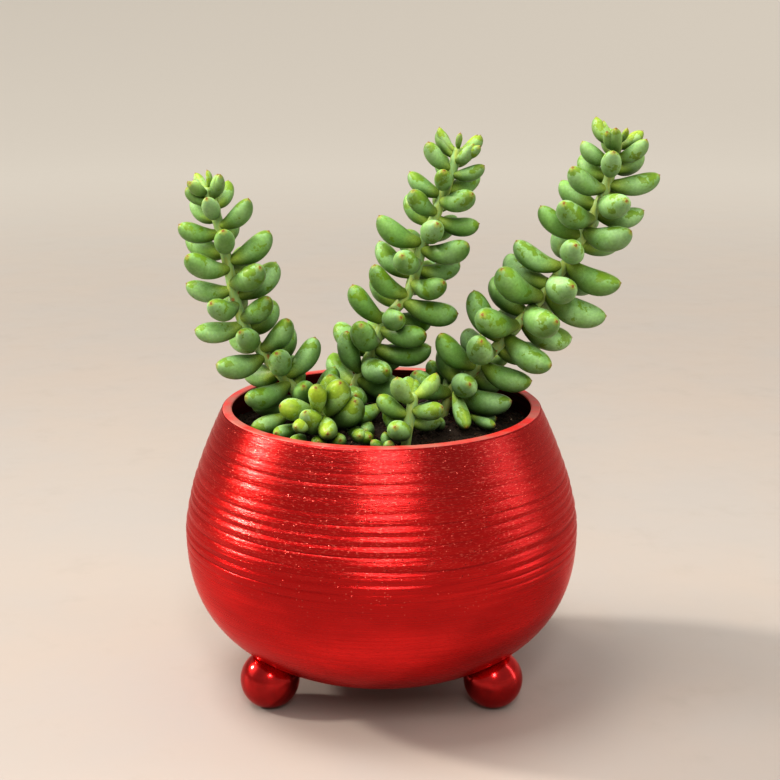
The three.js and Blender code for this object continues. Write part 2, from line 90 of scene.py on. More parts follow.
# ---- The leafy stems: millimetres, degrees, and growth along the stem ------------------------------

STEM_RADIUS = 1.45
CURVE_STEPS = 12
TANGENT_REACH = 1.5

LEAF_ROOT_DEPTH = 0.85
LEAF_FLATNESS = 0.9
LEAF_KEEL = 1
LEAF_BOW = 0.12
LEAF_FULLNESS = 1.06
LEAF_CLEARANCE = 0.35
LEAF_NECK = 0.3
LEAF_WIDEST = 0.62
LEAF_SWELL_POWER = 1.1
LEAF_POINT_POWER = 2.4
LEAF_POINT = 0.5

TURN_WOBBLE = 12
TILT_WOBBLE = 8
LENGTH_WOBBLE = 0.1
BOW_WOBBLE = 0.03
WIDTH_WOBBLE = 0.03
DRAW_FACTOR = 16807
DRAW_MODULUS = 2147483647
FIRST_DRAWS = 3

TURN_SHIFTS = (0, 8, -8, 16, -16, 26, -26, 38, -38)
TILT_SHIFTS = (0, 8, -8, 16, -16, 26, -26, 38, -38, 50)
LENGTH_SHARES = (1, 0.88, 0.76, 0.64)
PROBES = (0.12, 0.25, 0.38, 0.51, 0.64, 0.77, 0.89, 0.97)
STEM_PROBE_STEP = 1.5

# A gap, tilt or length: at the tip, low on the stem, and how slowly the one turns into the other.
SHOOTS = (
    {
        "name": "stem_left", "seed": 9828, "youth": 0.0, "hearts": 5,
        "route": ((-17.5, 2, 73), (-18.5, 2, 82.5), (-25, 1, 92.5), (-37.5, -1, 109),
                  (-43, -2, 120.5), (-47, -4, 142), (-49.5, -4.5, 152.5), (-51.5, -5, 157)),
        "turn": 1, "phase": 109.3, "divergence": 140.25,
        "first_gap": 0.69, "gap": (0.81, 2.28, 3.6), "tilt": (52.8, 18.5, 12.8), "tilt_bend": 13.2,
        "length": (6.4, 15.1, 11.5), "plumpness": 0.52, "bare_foot": 16.5,
    },
    {
        "name": "stem_middle", "seed": 9519, "youth": 0.0, "hearts": 5,
        "route": ((-11.5, 10, 73), (-11, 10, 82.5), (-9, 9.5, 92), (-3, 8.5, 105.5), (1.5, 8, 115.5),
                  (8.5, 7, 124.5), (12.5, 6, 138.5), (17.5, 5, 151), (22, 4, 164.5), (23, 4, 168)),
        "turn": -1, "phase": 343.9, "divergence": 137.57,
        "first_gap": 1.44, "gap": (1, 2.25, 8.3), "tilt": (67.5, 19.5, 4.8), "tilt_bend": 12,
        "length": (8.2, 17, 22.7), "plumpness": 0.51, "bare_foot": 17.5,
    },
    {
        "name": "stem_right", "seed": 4694, "youth": 0.0, "hearts": 5,
        "route": ((17, 4, 73), (18, 4, 83), (21.5, 3, 93.5), (28.5, 2, 101), (43, 0, 117.5),
                  (52, -1, 129.5), (60.5, -2, 144), (66.5, -3, 158.5), (69, -3, 170.5)),
        "turn": 1, "phase": 192.9, "divergence": 139.97,
        "first_gap": 0.4, "gap": (0.8, 2.31, 9), "tilt": (40, 9.3, 14.3), "tilt_bend": 17.5,
        "length": (8.8, 17.6, 15.6), "plumpness": 0.51, "bare_foot": 18,
    },
    {
        "name": "sprig_front", "seed": 2439, "youth": 0.1, "hearts": 2,
        "route": ((6.5, -24, 76), (7, -24, 84.5), (8, -23.5, 91), (9, -23, 96), (9.3, -22.8, 99.5)),
        "turn": 1, "phase": 345, "divergence": 139.9,
        "first_gap": 0.4, "gap": (0.9, 2.1, 2), "tilt": (55, 9, 4.3), "tilt_bend": 5,
        "length": (10, 11.6, 7), "plumpness": 0.6, "bare_foot": 9.5,
    },
    {
        "name": "shoot_front_left", "seed": 3823, "youth": 0.42, "hearts": 0,
        "route": ((-12.5, -8, 75), (-13.5, -10, 84), (-16, -14.5, 89.5), (-18.5, -20, 92.3),
                  (-19.5, -23, 93.2)),
        "turn": 1, "phase": 184.3, "divergence": 135.3,
        "first_gap": 0.4, "gap": (1.1, 2.1, 2), "tilt": (57, 19.5, 5.7), "tilt_bend": 6.4,
        "length": (8.7, 15, 4), "plumpness": 0.6, "bare_foot": 9,
    },
    {
        "name": "shoot_back_right", "seed": 41, "youth": 0.1, "hearts": 3,
        "route": ((21, 19, 74), (22, 20, 83.5), (24.5, 21, 90), (29, 22, 96), (33, 22.5, 99)),
        "turn": 1, "phase": 60, "divergence": 137.5,
        "first_gap": 0.8, "gap": (1.1, 2.7, 3), "tilt": (55, 18, 7), "tilt_bend": 10,
        "length": (8, 14.5, 10), "plumpness": 0.55, "bare_foot": 11,
    },
)

# ---- Small helpers ---------------------------------------------------------------------------------


def unit(vector):
    return vector / math.sqrt(vector[0] * vector[0] + vector[1] * vector[1] + vector[2] * vector[2])


def ring_angles(sides):
    return np.arange(sides) * 2 * math.pi / sides


def smooth_step(low, high, value):
    """0 below low, 1 above high, and a smooth rise between them; works on numbers and arrays."""
    share = np.clip((value - low) / (high - low), 0, 1)
    return share * share * (3 - 2 * share)


def draws_from(seed):
    """Draws between -1 and 1, the same each time for a seed."""
    state = seed
    while True:
        state = (state * DRAW_FACTOR) % DRAW_MODULUS
        yield (2 * state) / DRAW_MODULUS - 1


def bowl_radius(height, offset=0.0):
    """Radius of the bowl's outer face at a height, with the face moved out by the offset."""
    if height >= BELLY_HEIGHT:
        share = (height - BELLY_HEIGHT) / (RIM_HEIGHT - BELLY_HEIGHT)
        return BELLY_RADIUS + offset - (BELLY_RADIUS - RIM_RADIUS) * share**SHOULDER_POWER
    depth = BELLY_HEIGHT - BOWL_BOTTOM + offset
    share = min((BELLY_HEIGHT - height) / depth, 1)
    return (BELLY_RADIUS + offset) * (1 - share**KEEL_POWER) ** (1 / KEEL_POWER)


SOIL_RADIUS = bowl_radius(SOIL_AT_WALL, -WALL - SEAT_GAP)


def soil_mound(x, y):
    """Height of the soil's mounded surface, without its clods."""
    share = np.minimum(np.hypot(x, y) / SOIL_RADIUS, 1)
    return SOIL_MIDDLE - (SOIL_MIDDLE - SOIL_AT_WALL) * share * share


def soil_clods(x, y):
    waves = [np.sin(across * x + back * y + start) for across, back, start in CLOD_WAVES]
    return (SOIL_BUMP / len(waves)) * sum(waves)


# ---- Piece: corners, faces and painted values collected into one mesh ------------------------------


class Piece:
    """Closed bodies gathered into one object, with a few values per corner for its materials."""

    def __init__(self):
        self.corners = []
        self.faces = []
        self.finishes = []
        self.values = {}
        self.count = 0

    def add(self, corners, faces, finish=0, **values):
        corners = np.asarray(corners, float).reshape(-1, 3)
        self.corners.append(corners)
        self.faces.extend(tuple(c + self.count for c in face) for face in faces)
        self.finishes.extend([finish] * len(faces))
        for name, value in values.items():
            self.values.setdefault(name, []).append(np.array(np.broadcast_to(value, len(corners))))
        self.count += len(corners)

    def add_rings(self, rings, start, end, **values):
        """A body through rings of equally many corners, closed by points at its start and end."""
        rings = np.asarray(rings, float)
        steps, sides = rings.shape[:2]
        corners = rings.reshape(-1, 3)
        faces = ring_faces(steps, sides)
        painted = {name: np.broadcast_to(value, (steps, sides)).flatten() for name, value in values.items()}
        for point, ring in ((start, 0), (end, steps - 1)):
            tip = len(corners)
            corners = np.vstack([corners, np.asarray(point, float)[None]])
            first = ring * sides
            for k in range(sides):
                edge = (first + k, first + (k + 1) % sides)
                faces.append((edge[1], edge[0], tip) if ring == 0 else (edge[0], edge[1], tip))
            painted = {name: np.append(value, value[first]) for name, value in painted.items()}
        self.add(corners, faces, **painted)

    def make(self, name, *materials):
        """The object, in metres, moved from the bowl's own axis to its place in the frame."""
        corners = np.vstack(self.corners)
        corners[:, 0] += POT_AXIS_X
        mesh = bpy.data.meshes.new(name)
        mesh.from_pydata((corners * MM).tolist(), [], self.faces)
        for value_name, parts in self.values.items():
            attribute = mesh.attributes.new(value_name, "FLOAT", "POINT")
            attribute.data.foreach_set("value", np.concatenate(parts).astype(np.float32))
        for material in materials:
            mesh.materials.append(material)
        mesh.polygons.foreach_set("material_index", self.finishes)
        mesh.polygons.foreach_set("use_smooth", [True] * len(mesh.polygons))
        mesh.update()
        piece = bpy.data.objects.new(name, mesh)
        bpy.context.scene.collection.objects.link(piece)
        return piece


def ring_faces(steps, sides):
    """Four-sided faces between rings, facing out when the rings run counterclockwise up an axis."""
    faces = []
    for lower in range(0, (steps - 1) * sides, sides):
        upper = lower + sides
        for k in range(sides):
            n = (k + 1) % sides
            faces.append((lower + k, lower + n, upper + n, upper + k))
    return faces


def settle(piece, slot, *nodes):
    """The piece rides with the plant and stands for its nodes; the slot is not used."""
    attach(piece, BODY)
    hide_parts(*nodes)


# ---- Material nodes --------------------------------------------------------------------------------

NOISE_SPAN = (0.3, 0.7)         # nearly all values of a noise pattern lie between these two


class Finish:
    """Short names for the shader nodes that the finishes are made of."""

    def __init__(self, name):
        self.material = bpy.data.materials.new(name)
        self.material.use_nodes = True
        self.tree = self.material.node_tree
        self.shader = self.tree.nodes["Principled BSDF"]
        self.place = self.node("ShaderNodeTexCoord", "Object")

    def set(self, **sockets):
        """Sets or links the shader's sockets; a name's underscores stand for spaces."""
        for name, value in sockets.items():
            self.put(self.shader.inputs[name.replace("_", " ")], value)

    def put(self, socket, value):
        if isinstance(value, bpy.types.NodeSocket):
            self.tree.links.new(value, socket)
        elif socket.type == "RGBA":
            socket.default_value = (*value[:3], 1)
        else:
            socket.default_value = value

    def node(self, kind, output=0, settings=None, **inputs):
        node = self.tree.nodes.new(kind)
        for name, value in (settings or {}).items():
            setattr(node, name, value)
        for name, value in inputs.items():
            key = int(name[1:]) if name[0] == "i" and name[1:].isdigit() else name.replace("_", " ")
            self.put(node.inputs[key], value)
        return node.outputs[output]

    def painted(self, name):
        return self.node("ShaderNodeAttribute", "Fac", {"attribute_name": name})

    def height(self):
        return self.node("ShaderNodeSeparateXYZ", "Z", Vector=self.place)

    def grain(self, scale, detail=2.0, roughness=0.5, seed=None, where=None):
        """Noise with so many clouds to the metre; a linked seed gives every leaf its own."""
        settings = {"noise_dimensions": "3D" if seed is None else "4D"}
        inputs = {"Vector": where or self.place, "Scale": scale, "Detail": detail, "Roughness": roughness}
        if seed is not None:
            inputs["W"] = seed
        return self.node("ShaderNodeTexNoise", "Fac", settings, **inputs)

    def lathed(self, across, up, detail=2.0, roughness=0.5):
        """Noise with one scale across the object and another up it, so that it is drawn out in lines."""
        where = self.node("ShaderNodeMapping", Vector=self.place, Scale=(across, across, up))
        return self.grain(1.0, detail, roughness, where=where)

    def sums(self, operation, a, b=0.0, c=0.0, clamp=False):
        settings = {"operation": operation, "use_clamp": clamp}
        return self.node("ShaderNodeMath", 0, settings, i0=a, i1=b, i2=c)

    def plus(self, a, b):
        return self.sums("ADD", a, b)

    def minus(self, a, b, clamp=False):
        return self.sums("SUBTRACT", a, b, clamp=clamp)

    def times(self, a, b, clamp=False):
        return self.sums("MULTIPLY", a, b, clamp=clamp)

    def step(self, value, low, high, start=0.0, end=1.0):
        """A smooth change from start to end while the value goes from low to high."""
        settings = {"interpolation_type": "SMOOTHSTEP"}
        inputs = {"Value": value, "From_Min": low, "From_Max": high, "To_Min": start, "To_Max": end}
        return self.node("ShaderNodeMapRange", "Result", settings, **inputs)

    def spread(self, noise_pattern, start=0.0, end=1.0):
        """Noise spread out from start to end."""
        return self.step(noise_pattern, *NOISE_SPAN, start, end)

    def shelter(self, reach, low, high, hidden, in_the_open):
        """One value in crevices narrower than the reach, turning into another in the open."""
        settings = {"samples": 6, "only_local": False}
        open_share = self.node("ShaderNodeAmbientOcclusion", "AO", settings, Distance=reach)
        return self.step(open_share, low, high, hidden, in_the_open)

    def blend(self, share, a, b, how="MIX"):
        """Colour a turning into colour b."""
        node = self.tree.nodes.new("ShaderNodeMix")
        node.data_type = "RGBA"
        node.blend_type = how
        self.put(node.inputs["Factor"], share)
        self.put(node.inputs[6], a)
        self.put(node.inputs[7], b)
        return node.outputs[2]

    def ground(self, share, a, b):
        """The colours that the others are painted on."""
        self.body = self.blend(share, a, b)

    def paint(self, tint, share, low=None, high=None, start=0.0, end=1.0):
        """Lays a colour over the ones so far, by a share or by a step of a value."""
        if low is not None:
            share = self.step(share, low, high, start, end)
        self.body = self.blend(share, self.body, tint)

    def shade(self, value):
        """Makes the colours so far darker or lighter."""
        grey = self.node("ShaderNodeCombineColor", 0, None, Red=value, Green=value, Blue=value)
        self.body = self.blend(1.0, self.body, grey, "MULTIPLY")

    def finished(self, **sockets):
        """The material, with its painted colours and its last sockets set."""
        self.set(Base_Color=self.body, **sockets)
        return self.material

    def relief(self, height, depth, strength, under=None):
        """Bump of a depth in metres, on top of another one where given."""
        inputs = {"Height": height, "Distance": depth, "Strength": strength}
        if under is not None:
            inputs["Normal"] = under
        return self.node("ShaderNodeBump", 0, None, **inputs)


WAX_CLOUDS = 150                # patterns of the skin, in clouds to the metre
RUBBED_BLOTS = 250
SKIN_DIMPLES = 480
SKIN_SPECKS = 1300
POINT_SPECKS = 1500
SKIN_PORES = 2600
LEAF_SEEDS = 37.0               # spreads the leaves' tones over as many patterns
LEAF_GAP = 8.5 * MM             # painted shade: gaps between leaves narrower than this are darkened
RUBBED_SHARE = 0.82
YOUNG_SHARE = 0.7


def leaf_skin(look):
    """Waxy blue-green skin, rubbed to a deeper green in patches, pale at the root, brown at the point."""
    f = Finish("leaf_skin")
    along = f.painted("along")
    upper = f.painted("upper_side")
    tone = f.painted("leaf_tone")
    youth = f.painted("youth")
    seed = f.times(tone, LEAF_SEEDS)

    clouds = f.plus(f.grain(WAX_CLOUDS, 3, 0.55, seed), f.sums("MULTIPLY_ADD", tone, 0.24, -0.12))
    wax = f.spread(clouds)
    f.ground(wax, look.wax_deep, look.wax_pale)
    f.paint(look.young, f.times(youth, YOUNG_SHARE))

    blots = f.grain(RUBBED_BLOTS, 4, 0.62, seed)
    near_tip = f.step(along, 0.3, 0.95, 0.0, 0.10)
    on_top = f.step(upper, -0.8, 0.9, -0.06, 0.02)
    worn = f.plus(f.plus(blots, near_tip), f.sums("MULTIPLY_ADD", youth, 0.08, on_top))
    patch = f.step(worn, 0.60, 0.63)
    fresh = f.blend(youth, look.rubbed, look.rubbed_young)
    f.paint(fresh, f.times(patch, RUBBED_SHARE))

    f.paint(look.root, f.plus(along, f.spread(blots, -0.05, 0.05)), 0.02, 0.45, 0.85, 0.0)
    crease = f.times(f.painted("crease"), f.step(blots, 0.35, 0.6, 0.25, 0.75))
    f.paint(look.root, crease)
    # painted shade: each leaf darker on its lower side and a little lighter on its upper side, over a fine
    # random mottle
    underside_shade = f.step(upper, -1.0, 0.5, 0.52, 1.06)
    f.shade(f.times(underside_shade, f.spread(f.grain(SKIN_SPECKS, 3), 0.9, 1.08)))
    # painted shade: dark green laid into the gaps between leaves
    f.paint(look.crevice_shade, f.shelter(LEAF_GAP, 0.12, 0.99, 0.92, 0.0))
    from_tip = f.plus(f.painted("from_tip"), f.spread(f.grain(POINT_SPECKS, 1), -0.25, 0.25))
    f.paint(look.point_edge, from_tip, 0.65, 1.7, 0.6, 0.0)
    f.paint(look.point, from_tip, 0.32, 0.75, 0.95, 0.0)

    bare = f.minus(patch, f.times(wax, 0.4))
    rough = f.step(bare, -0.4, 1.0, look.wax_roughness + 0.02, look.wax_roughness - 0.12)
    skin = f.relief(f.grain(SKIN_PORES), 0.03 * MM, 0.35)
    skin = f.relief(f.grain(SKIN_DIMPLES), 0.1 * MM, 0.35, skin)
    f.set(Roughness=rough, Normal=skin, IOR=1.45, Specular_IOR_Level=0.28)
    f.set(Subsurface_Weight=0.2, Subsurface_Radius=(0.6, 1.0, 0.08), Subsurface_Scale=1.2 * MM)
    f.set(Sheen_Weight=0.04, Sheen_Roughness=0.45, Sheen_Tint=look.wax_bloom)
    return f.finished()


def stalk_skin(look):
    """Pale yellow-green stalk, browner at its foot, with orange-brown scars."""
    f = Finish("stalk_skin")
    streaks = f.lathed(900, 220, 3)
    f.ground(f.spread(streaks), look.stalk, look.wax_pale)
    f.paint(look.old_stalk, f.painted("rise"), 0.1, 0.45, 0.55, 0.0)
    # painted shade: dark green laid where the stalk runs close to leaves and other stalks
    f.paint(look.crevice_shade, f.shelter(6 * MM, 0.1, 0.9, 0.5, 0.0))
    scar = f.plus(f.painted("scar"), f.spread(f.grain(1400), -0.2, 0.2))
    f.paint(look.scar, scar, 0.4, 0.75, 0.0, 0.85)
    f.set(Roughness=0.55, Normal=f.relief(streaks, 0.15 * MM, 0.6))
    f.set(Subsurface_Weight=0.2, Subsurface_Radius=(0.8, 1.0, 0.3), Subsurface_Scale=1 * MM)
    return f.finished()


def nub_skin(look):
    """Off-white root nubs on the lower stalks."""
    f = Finish("nub_skin")
    specks = f.grain(1800)
    f.ground(f.step(specks, 0.35, 0.7), look.nub, look.old_stalk)
    return f.finished(Roughness=0.7, Normal=f.relief(specks, 0.1 * MM, 0.5))


EDGE_TINT = (1.0, 0.22, 0.2)    # keeps the red metal red where it is seen edge-on
GRAINED_FROM = (BELLY_HEIGHT - 16) * MM     # heights between which the upper half's grain sets in, and its painted shade
GRAINED_FULL = (BELLY_HEIGHT + 8) * MM
DARK_TOP_FROM = 68 * MM         # heights between which painted shade deepens the red under the rim
DARK_TOP_FULL = (RIM_HEIGHT - 2) * MM
SPECK_REACH = 0.16              # radius of a glint or pit, as a share of its cell
GLINTS, RARE_GLINT = 1300, 0.88         # cells to the metre, and the share of them left empty
PITS, RARE_PIT = 1150, 0.89


def glints(f, scale, rare, where):
    """Tiny round specks in a few of a pattern's cells."""
    cells = f.tree.nodes.new("ShaderNodeTexVoronoi")
    f.put(cells.inputs["Vector"], f.place)
    f.put(cells.inputs["Scale"], scale)
    near = f.step(cells.outputs["Distance"], SPECK_REACH, 2 * SPECK_REACH, 1.0, 0.0)
    chance = f.node("ShaderNodeSeparateColor", 0, None, Color=cells.outputs["Color"])
    return f.times(f.times(near, f.step(chance, rare, rare + 0.02)), where)


def turned_metal(look):
    """Red lacquered metal, turned on a lathe: fine lines all round, a grained upper half with glints."""
    f = Finish("turned_red_metal")
    upper_half = f.step(f.height(), GRAINED_FROM, GRAINED_FULL)
    lines = f.lathed(30, 2400, 3, 0.6)
    fine_lines = f.lathed(160, 7000, 2, 0.6)
    dashes = f.lathed(800, 3800, 3, 0.65)
    clouds = f.lathed(24, 60, 3, 0.55)
    glint = glints(f, GLINTS, RARE_GLINT, upper_half)
    pit = glints(f, PITS, RARE_PIT, upper_half)

    # random clouds of deeper red, with painted shade that darkens the whole upper half
    bright = f.minus(f.spread(clouds), f.times(upper_half, 0.65), clamp=True)
    f.ground(bright, look.metal_deep, look.metal)
    f.paint(look.metal_deep, lines, 0.35, 0.66, 0.0, 0.5)
    # painted shade: the red darkened in a band under the rim
    f.paint(look.metal_under_rim_shade, f.height(), DARK_TOP_FROM, DARK_TOP_FULL, 0.0, 0.7)
    grained = f.times(dashes, upper_half)
    f.paint(look.metal_bright, grained, 0.54, 0.70, 0.0, 0.45)
    f.paint(look.metal_deep, dashes, 0.30, 0.48, 0.7, 0.0)
    f.paint(look.metal_bright, f.times(glint, 0.75))
    f.paint(look.inside, f.times(pit, 0.85))

    ridge_back = f.sums("ABSOLUTE", f.sums("SINE", f.painted("ridge_phase")))
    broken = f.step(f.lathed(26, 220), 0.36, 0.62)
    shaded_groove = f.times(f.step(ridge_back, 0.02, 0.34, 1.0, 0.0), f.painted("ridge_share"), clamp=True)
    shaded_groove = f.times(shaded_groove, broken)
    # painted shade: dark red laid into the grooves between the ridges
    f.paint(look.shaded_groove, f.times(shaded_groove, 0.6))

    rough = f.spread(lines, look.metal_roughness - 0.04, look.metal_roughness + 0.06)
    rough = f.minus(rough, f.times(glint, 0.12))
    bump = f.relief(fine_lines, 0.03 * MM, 0.5)
    bump = f.relief(lines, 0.06 * MM, 0.5, bump)
    bump = f.relief(shaded_groove, -0.12 * MM, 0.6, bump)
    bump = f.relief(f.times(dashes, f.step(upper_half, 0.0, 1.0, 0.3, 1.0)), 0.11 * MM, 0.8, bump)
    bump = f.relief(f.minus(glint, pit), 0.07 * MM, 0.7, bump)
    f.set(Metallic=1.0, Roughness=rough, Normal=bump)
    f.set(Anisotropic=0.5, Anisotropic_Rotation=0.25)
    f.set(Tangent=f.node("ShaderNodeTangent", 0, {"direction_type": "RADIAL", "axis": "Z"}))
    f.set(Specular_Tint=EDGE_TINT, Coat_Weight=0.34, Coat_Roughness=0.18, Coat_Normal=bump)
    return f.finished()


def rim_metal(look):
    """The cut top of the wall: matte, a little dusty."""
    f = Finish("rim_metal")
    specks = f.grain(1600, 3)
    f.ground(f.spread(f.grain(120)), look.rim, look.metal)
    f.paint(look.rim_dust, specks, 0.55, 0.75, 0.0, 0.35)
    return f.finished(Metallic=0.25, Roughness=0.48, Normal=f.relief(specks, 0.05 * MM, 0.5))


def inner_metal(look):
    """Inside of the wall, the same red left duller."""
    f = Finish("inner_metal")
    lines = f.lathed(40, 1800)
    f.ground(f.spread(lines), look.metal_deep, look.inside)
    return f.finished(Metallic=0.9, Roughness=0.42, Normal=f.relief(lines, 0.08 * MM, 0.5))


def ball_metal(look):
    """Smooth satin red of the ball feet under a clear coat."""
    f = Finish("ball_metal")
    peel = f.grain(1500)
    f.ground(f.spread(f.grain(260)), look.ball_deep, look.ball)
    f.set(Metallic=1.0, Roughness=f.spread(peel, 0.20, 0.24))
    f.set(Normal=f.relief(peel, 0.01 * MM, 0.3))
    f.set(Specular_Tint=EDGE_TINT, Coat_Weight=0.45, Coat_Roughness=0.12)
    return f.finished()


def soil_skin(look):
    """Nearly black potting soil with lighter crumbs."""
    f = Finish("potting_soil")
    specks = f.grain(1900, 4, 0.65)
    f.ground(f.spread(specks), look.soil_dark, look.soil_brown)
    f.paint(look.soil_brown, f.painted("crumb_tone"), 0.5, 1.0, 0.0, 0.7)
    return f.finished(Roughness=0.92, Normal=f.relief(specks, 0.4 * MM, 0.9), IOR=1.33)


def grit_skin(look):
    """Tan and off-white grains of grit."""
    f = Finish("grit")
    specks = f.grain(2600, 3)
    f.ground(f.painted("crumb_tone"), look.grit_tan, look.grit_pale)
    f.paint(look.soil_brown, specks, 0.5, 0.75, 0.0, 0.5)
    return f.finished(Roughness=0.85, Normal=f.relief(specks, 0.2 * MM, 0.6))


def fibre_skin(look):
    """Reddish fibres of bark and coir."""
    f = Finish("fibre")
    specks = f.grain(1200, 3)
    reddish = f.sums("MULTIPLY_ADD", specks, 0.6, f.painted("crumb_tone"), clamp=True)
    f.ground(reddish, look.soil_brown, look.fibre)
    return f.finished(Roughness=0.8, Normal=f.relief(specks, 0.1 * MM, 0.5))


FLOOR_NEAR = 0.35               # metres from the plant between which the floor turns matte and pale
FLOOR_FAR = 1.6


def floor_skin(look):
    """Pale stone floor with faint clouds, satin near the plant and matte far off."""
    f = Finish("pale_floor")
    veins = f.grain(34, 5, 0.62)
    distance = f.node("ShaderNodeVectorMath", "Value", {"operation": "LENGTH"}, Vector=f.place)
    far = f.step(distance, FLOOR_NEAR, FLOOR_FAR)
    f.ground(f.spread(f.grain(9, 4, 0.6)), look.floor, look.floor_warm)
    f.paint(look.floor_vein, veins, 0.55, 0.75, 0.0, 0.25)
    f.paint(look.floor_far, far)
    # painted shade: the floor darkened close under and round the bowl and its feet
    f.shade(f.shelter(16 * MM, 0.1, 0.8, 0.72, 1.0))
    rough = f.plus(f.spread(veins, 0.48, 0.60), f.times(far, 0.35))
    return f.finished(Roughness=rough, IOR=1.35, Specular_IOR_Level=0.25)


# ---- Sizes and colours that a user would change ----------------------------------------------------


def colour(name, text, *red_green_blue):
    return bpy.props.FloatVectorProperty(
        name=name, description=text, default=red_green_blue, size=3, min=0, max=1, subtype="COLOR")


def number(name, text, value, low=0.0, high=100.0, **kind):
    return bpy.props.FloatProperty(name=name, description=text, default=value, min=low, max=high, **kind)


def millimetres(name, text, value, low=0.0, high=100.0):
    return number(name, text + ", in millimetres", value, low, high, precision=3)


def factor(name, text, value):
    return number(name, text, value, 0.0, 1.0, subtype="FACTOR")


def power(name, text, value):
    return number(name, "Power of the soft light " + text, value, unit="POWER")


def counted(name, text, value, low=3, high=20000):
    return bpy.props.IntProperty(name=name, description=text, default=value, min=low, max=high)


class BurrosPotLook(bpy.types.PropertyGroup):
    """Finish and fineness of the bowl and its ball feet."""

    sides: counted("Sides", "Faces round the bowl", 240, 24, 720)
    ridge_pitch: millimetres("Ridge pitch", "Distance from one turned ridge to the next", 3.1, 0.5)
    ridge_depth: millimetres("Ridge depth", "Height of the turned ridges", 0.20, 0.0, 1.0)
    rim_rounding: millimetres("Rim rounding", "Radius of the rim's two edges", 0.45, 0.0, 1.4)
    ball_sides: counted("Ball sides", "Faces round a ball foot", 64, 12, 256)
    metal: colour("Metal", "Red of the bowl where it is bright", 0.74, 0.016, 0.015)
    metal_deep: colour("Deep metal", "Red of the bowl where it is dark", 0.44, 0.005, 0.005)
    # painted shade under the rim
    metal_under_rim_shade: colour("Top metal", "Red of the bowl under its rim", 0.30, 0.006, 0.006)
    # painted shade, laid into the grooves between the ridges
    shaded_groove: colour("Groove", "Red in the grooves between the ridges", 0.20, 0.002, 0.002)
    metal_bright: colour("Bright metal", "Glints and worn ridges", 0.92, 0.20, 0.15)
    ball: colour("Ball", "Red of the ball feet", 0.46, 0.008, 0.008)
    ball_deep: colour("Deep ball", "Darker clouds on the ball feet", 0.34, 0.004, 0.004)
    rim: colour("Rim", "Matte top of the wall", 0.52, 0.150, 0.120)
    rim_dust: colour("Rim dust", "Pale dust on the rim", 0.62, 0.26, 0.21)
    inside: colour("Inside", "Inner face of the wall, and pits in the metal", 0.16, 0.008, 0.008)
    metal_roughness: factor("Metal roughness", "Blur of the bowl's reflections", 0.29)


class BurrosPlantLook(bpy.types.PropertyGroup):
    """Finish and fineness of the leaves and stalks."""

    leaf_sides: counted("Leaf sides", "Faces round a leaf", 20, 6, 64)
    leaf_rings: counted("Leaf rings", "Rings along a leaf", 24, 6, 64)
    stalk_sides: counted("Stalk sides", "Faces round a stalk", 18, 6, 64)
    crease: factor("Crease", "Depth of the crease along a leaf's upper side", 0.10)
    wax_deep: colour("Deep wax", "Blue-green skin where the wax is thin", 0.220, 0.420, 0.110)
    wax_pale: colour("Pale wax", "Blue-green skin where the wax is thick", 0.345, 0.580, 0.245)
    wax_bloom: colour("Wax bloom", "Powdery edge of the wax", 0.780, 0.950, 0.720)
    rubbed: colour("Rubbed", "Deeper green where the wax has come off", 0.180, 0.315, 0.010)
    rubbed_young: colour("Rubbed young", "The same on the youngest leaves", 0.380, 0.500, 0.014)
    young: colour("Young", "Yellow-green of the youngest leaves", 0.490, 0.660, 0.200)
    # painted shade, laid into the gaps between leaves and along the stalks
    crevice_shade: colour("Crevice", "Green in the gaps between leaves", 0.030, 0.078, 0.0015)
    root: colour("Leaf root", "Pale end of a leaf at the stalk", 0.480, 0.620, 0.090)
    point: colour("Point", "Brown point of a leaf", 0.240, 0.110, 0.026)
    point_edge: colour("Point's edge", "Yellowish skin round the point", 0.330, 0.340, 0.040)
    wax_roughness: factor("Wax roughness", "Blur of a leaf's highlights", 0.47)
    stalk: colour("Stalk", "Yellow-green of the stalks", 0.460, 0.560, 0.130)
    old_stalk: colour("Old stalk", "Browner foot of the stalks", 0.260, 0.250, 0.080)
    scar: colour("Scar", "Orange-brown scars of lost leaves", 0.360, 0.130, 0.030)
    nub: colour("Nub", "Off-white root nubs", 0.620, 0.580, 0.430)


class BurrosSoilLook(bpy.types.PropertyGroup):
    """Crumbs, grit and fibres of the soil."""

    crumbs: counted("Crumbs", "Loose crumbs on the surface", 3200)
    grit: counted("Grit", "Grains of grit", 130)
    fibres: counted("Fibres", "Slivers of bark and coir", 230)
    soil_dark: colour("Dark soil", "Nearly black soil", 0.010, 0.007, 0.005)
    soil_brown: colour("Brown soil", "Lighter crumbs", 0.045, 0.027, 0.017)
    grit_tan: colour("Tan grit", "Darker grains of grit", 0.270, 0.165, 0.090)
    grit_pale: colour("Pale grit", "Paler grains of grit", 0.640, 0.580, 0.490)
    fibre: colour("Fibre", "Reddish fibres", 0.190, 0.070, 0.030)


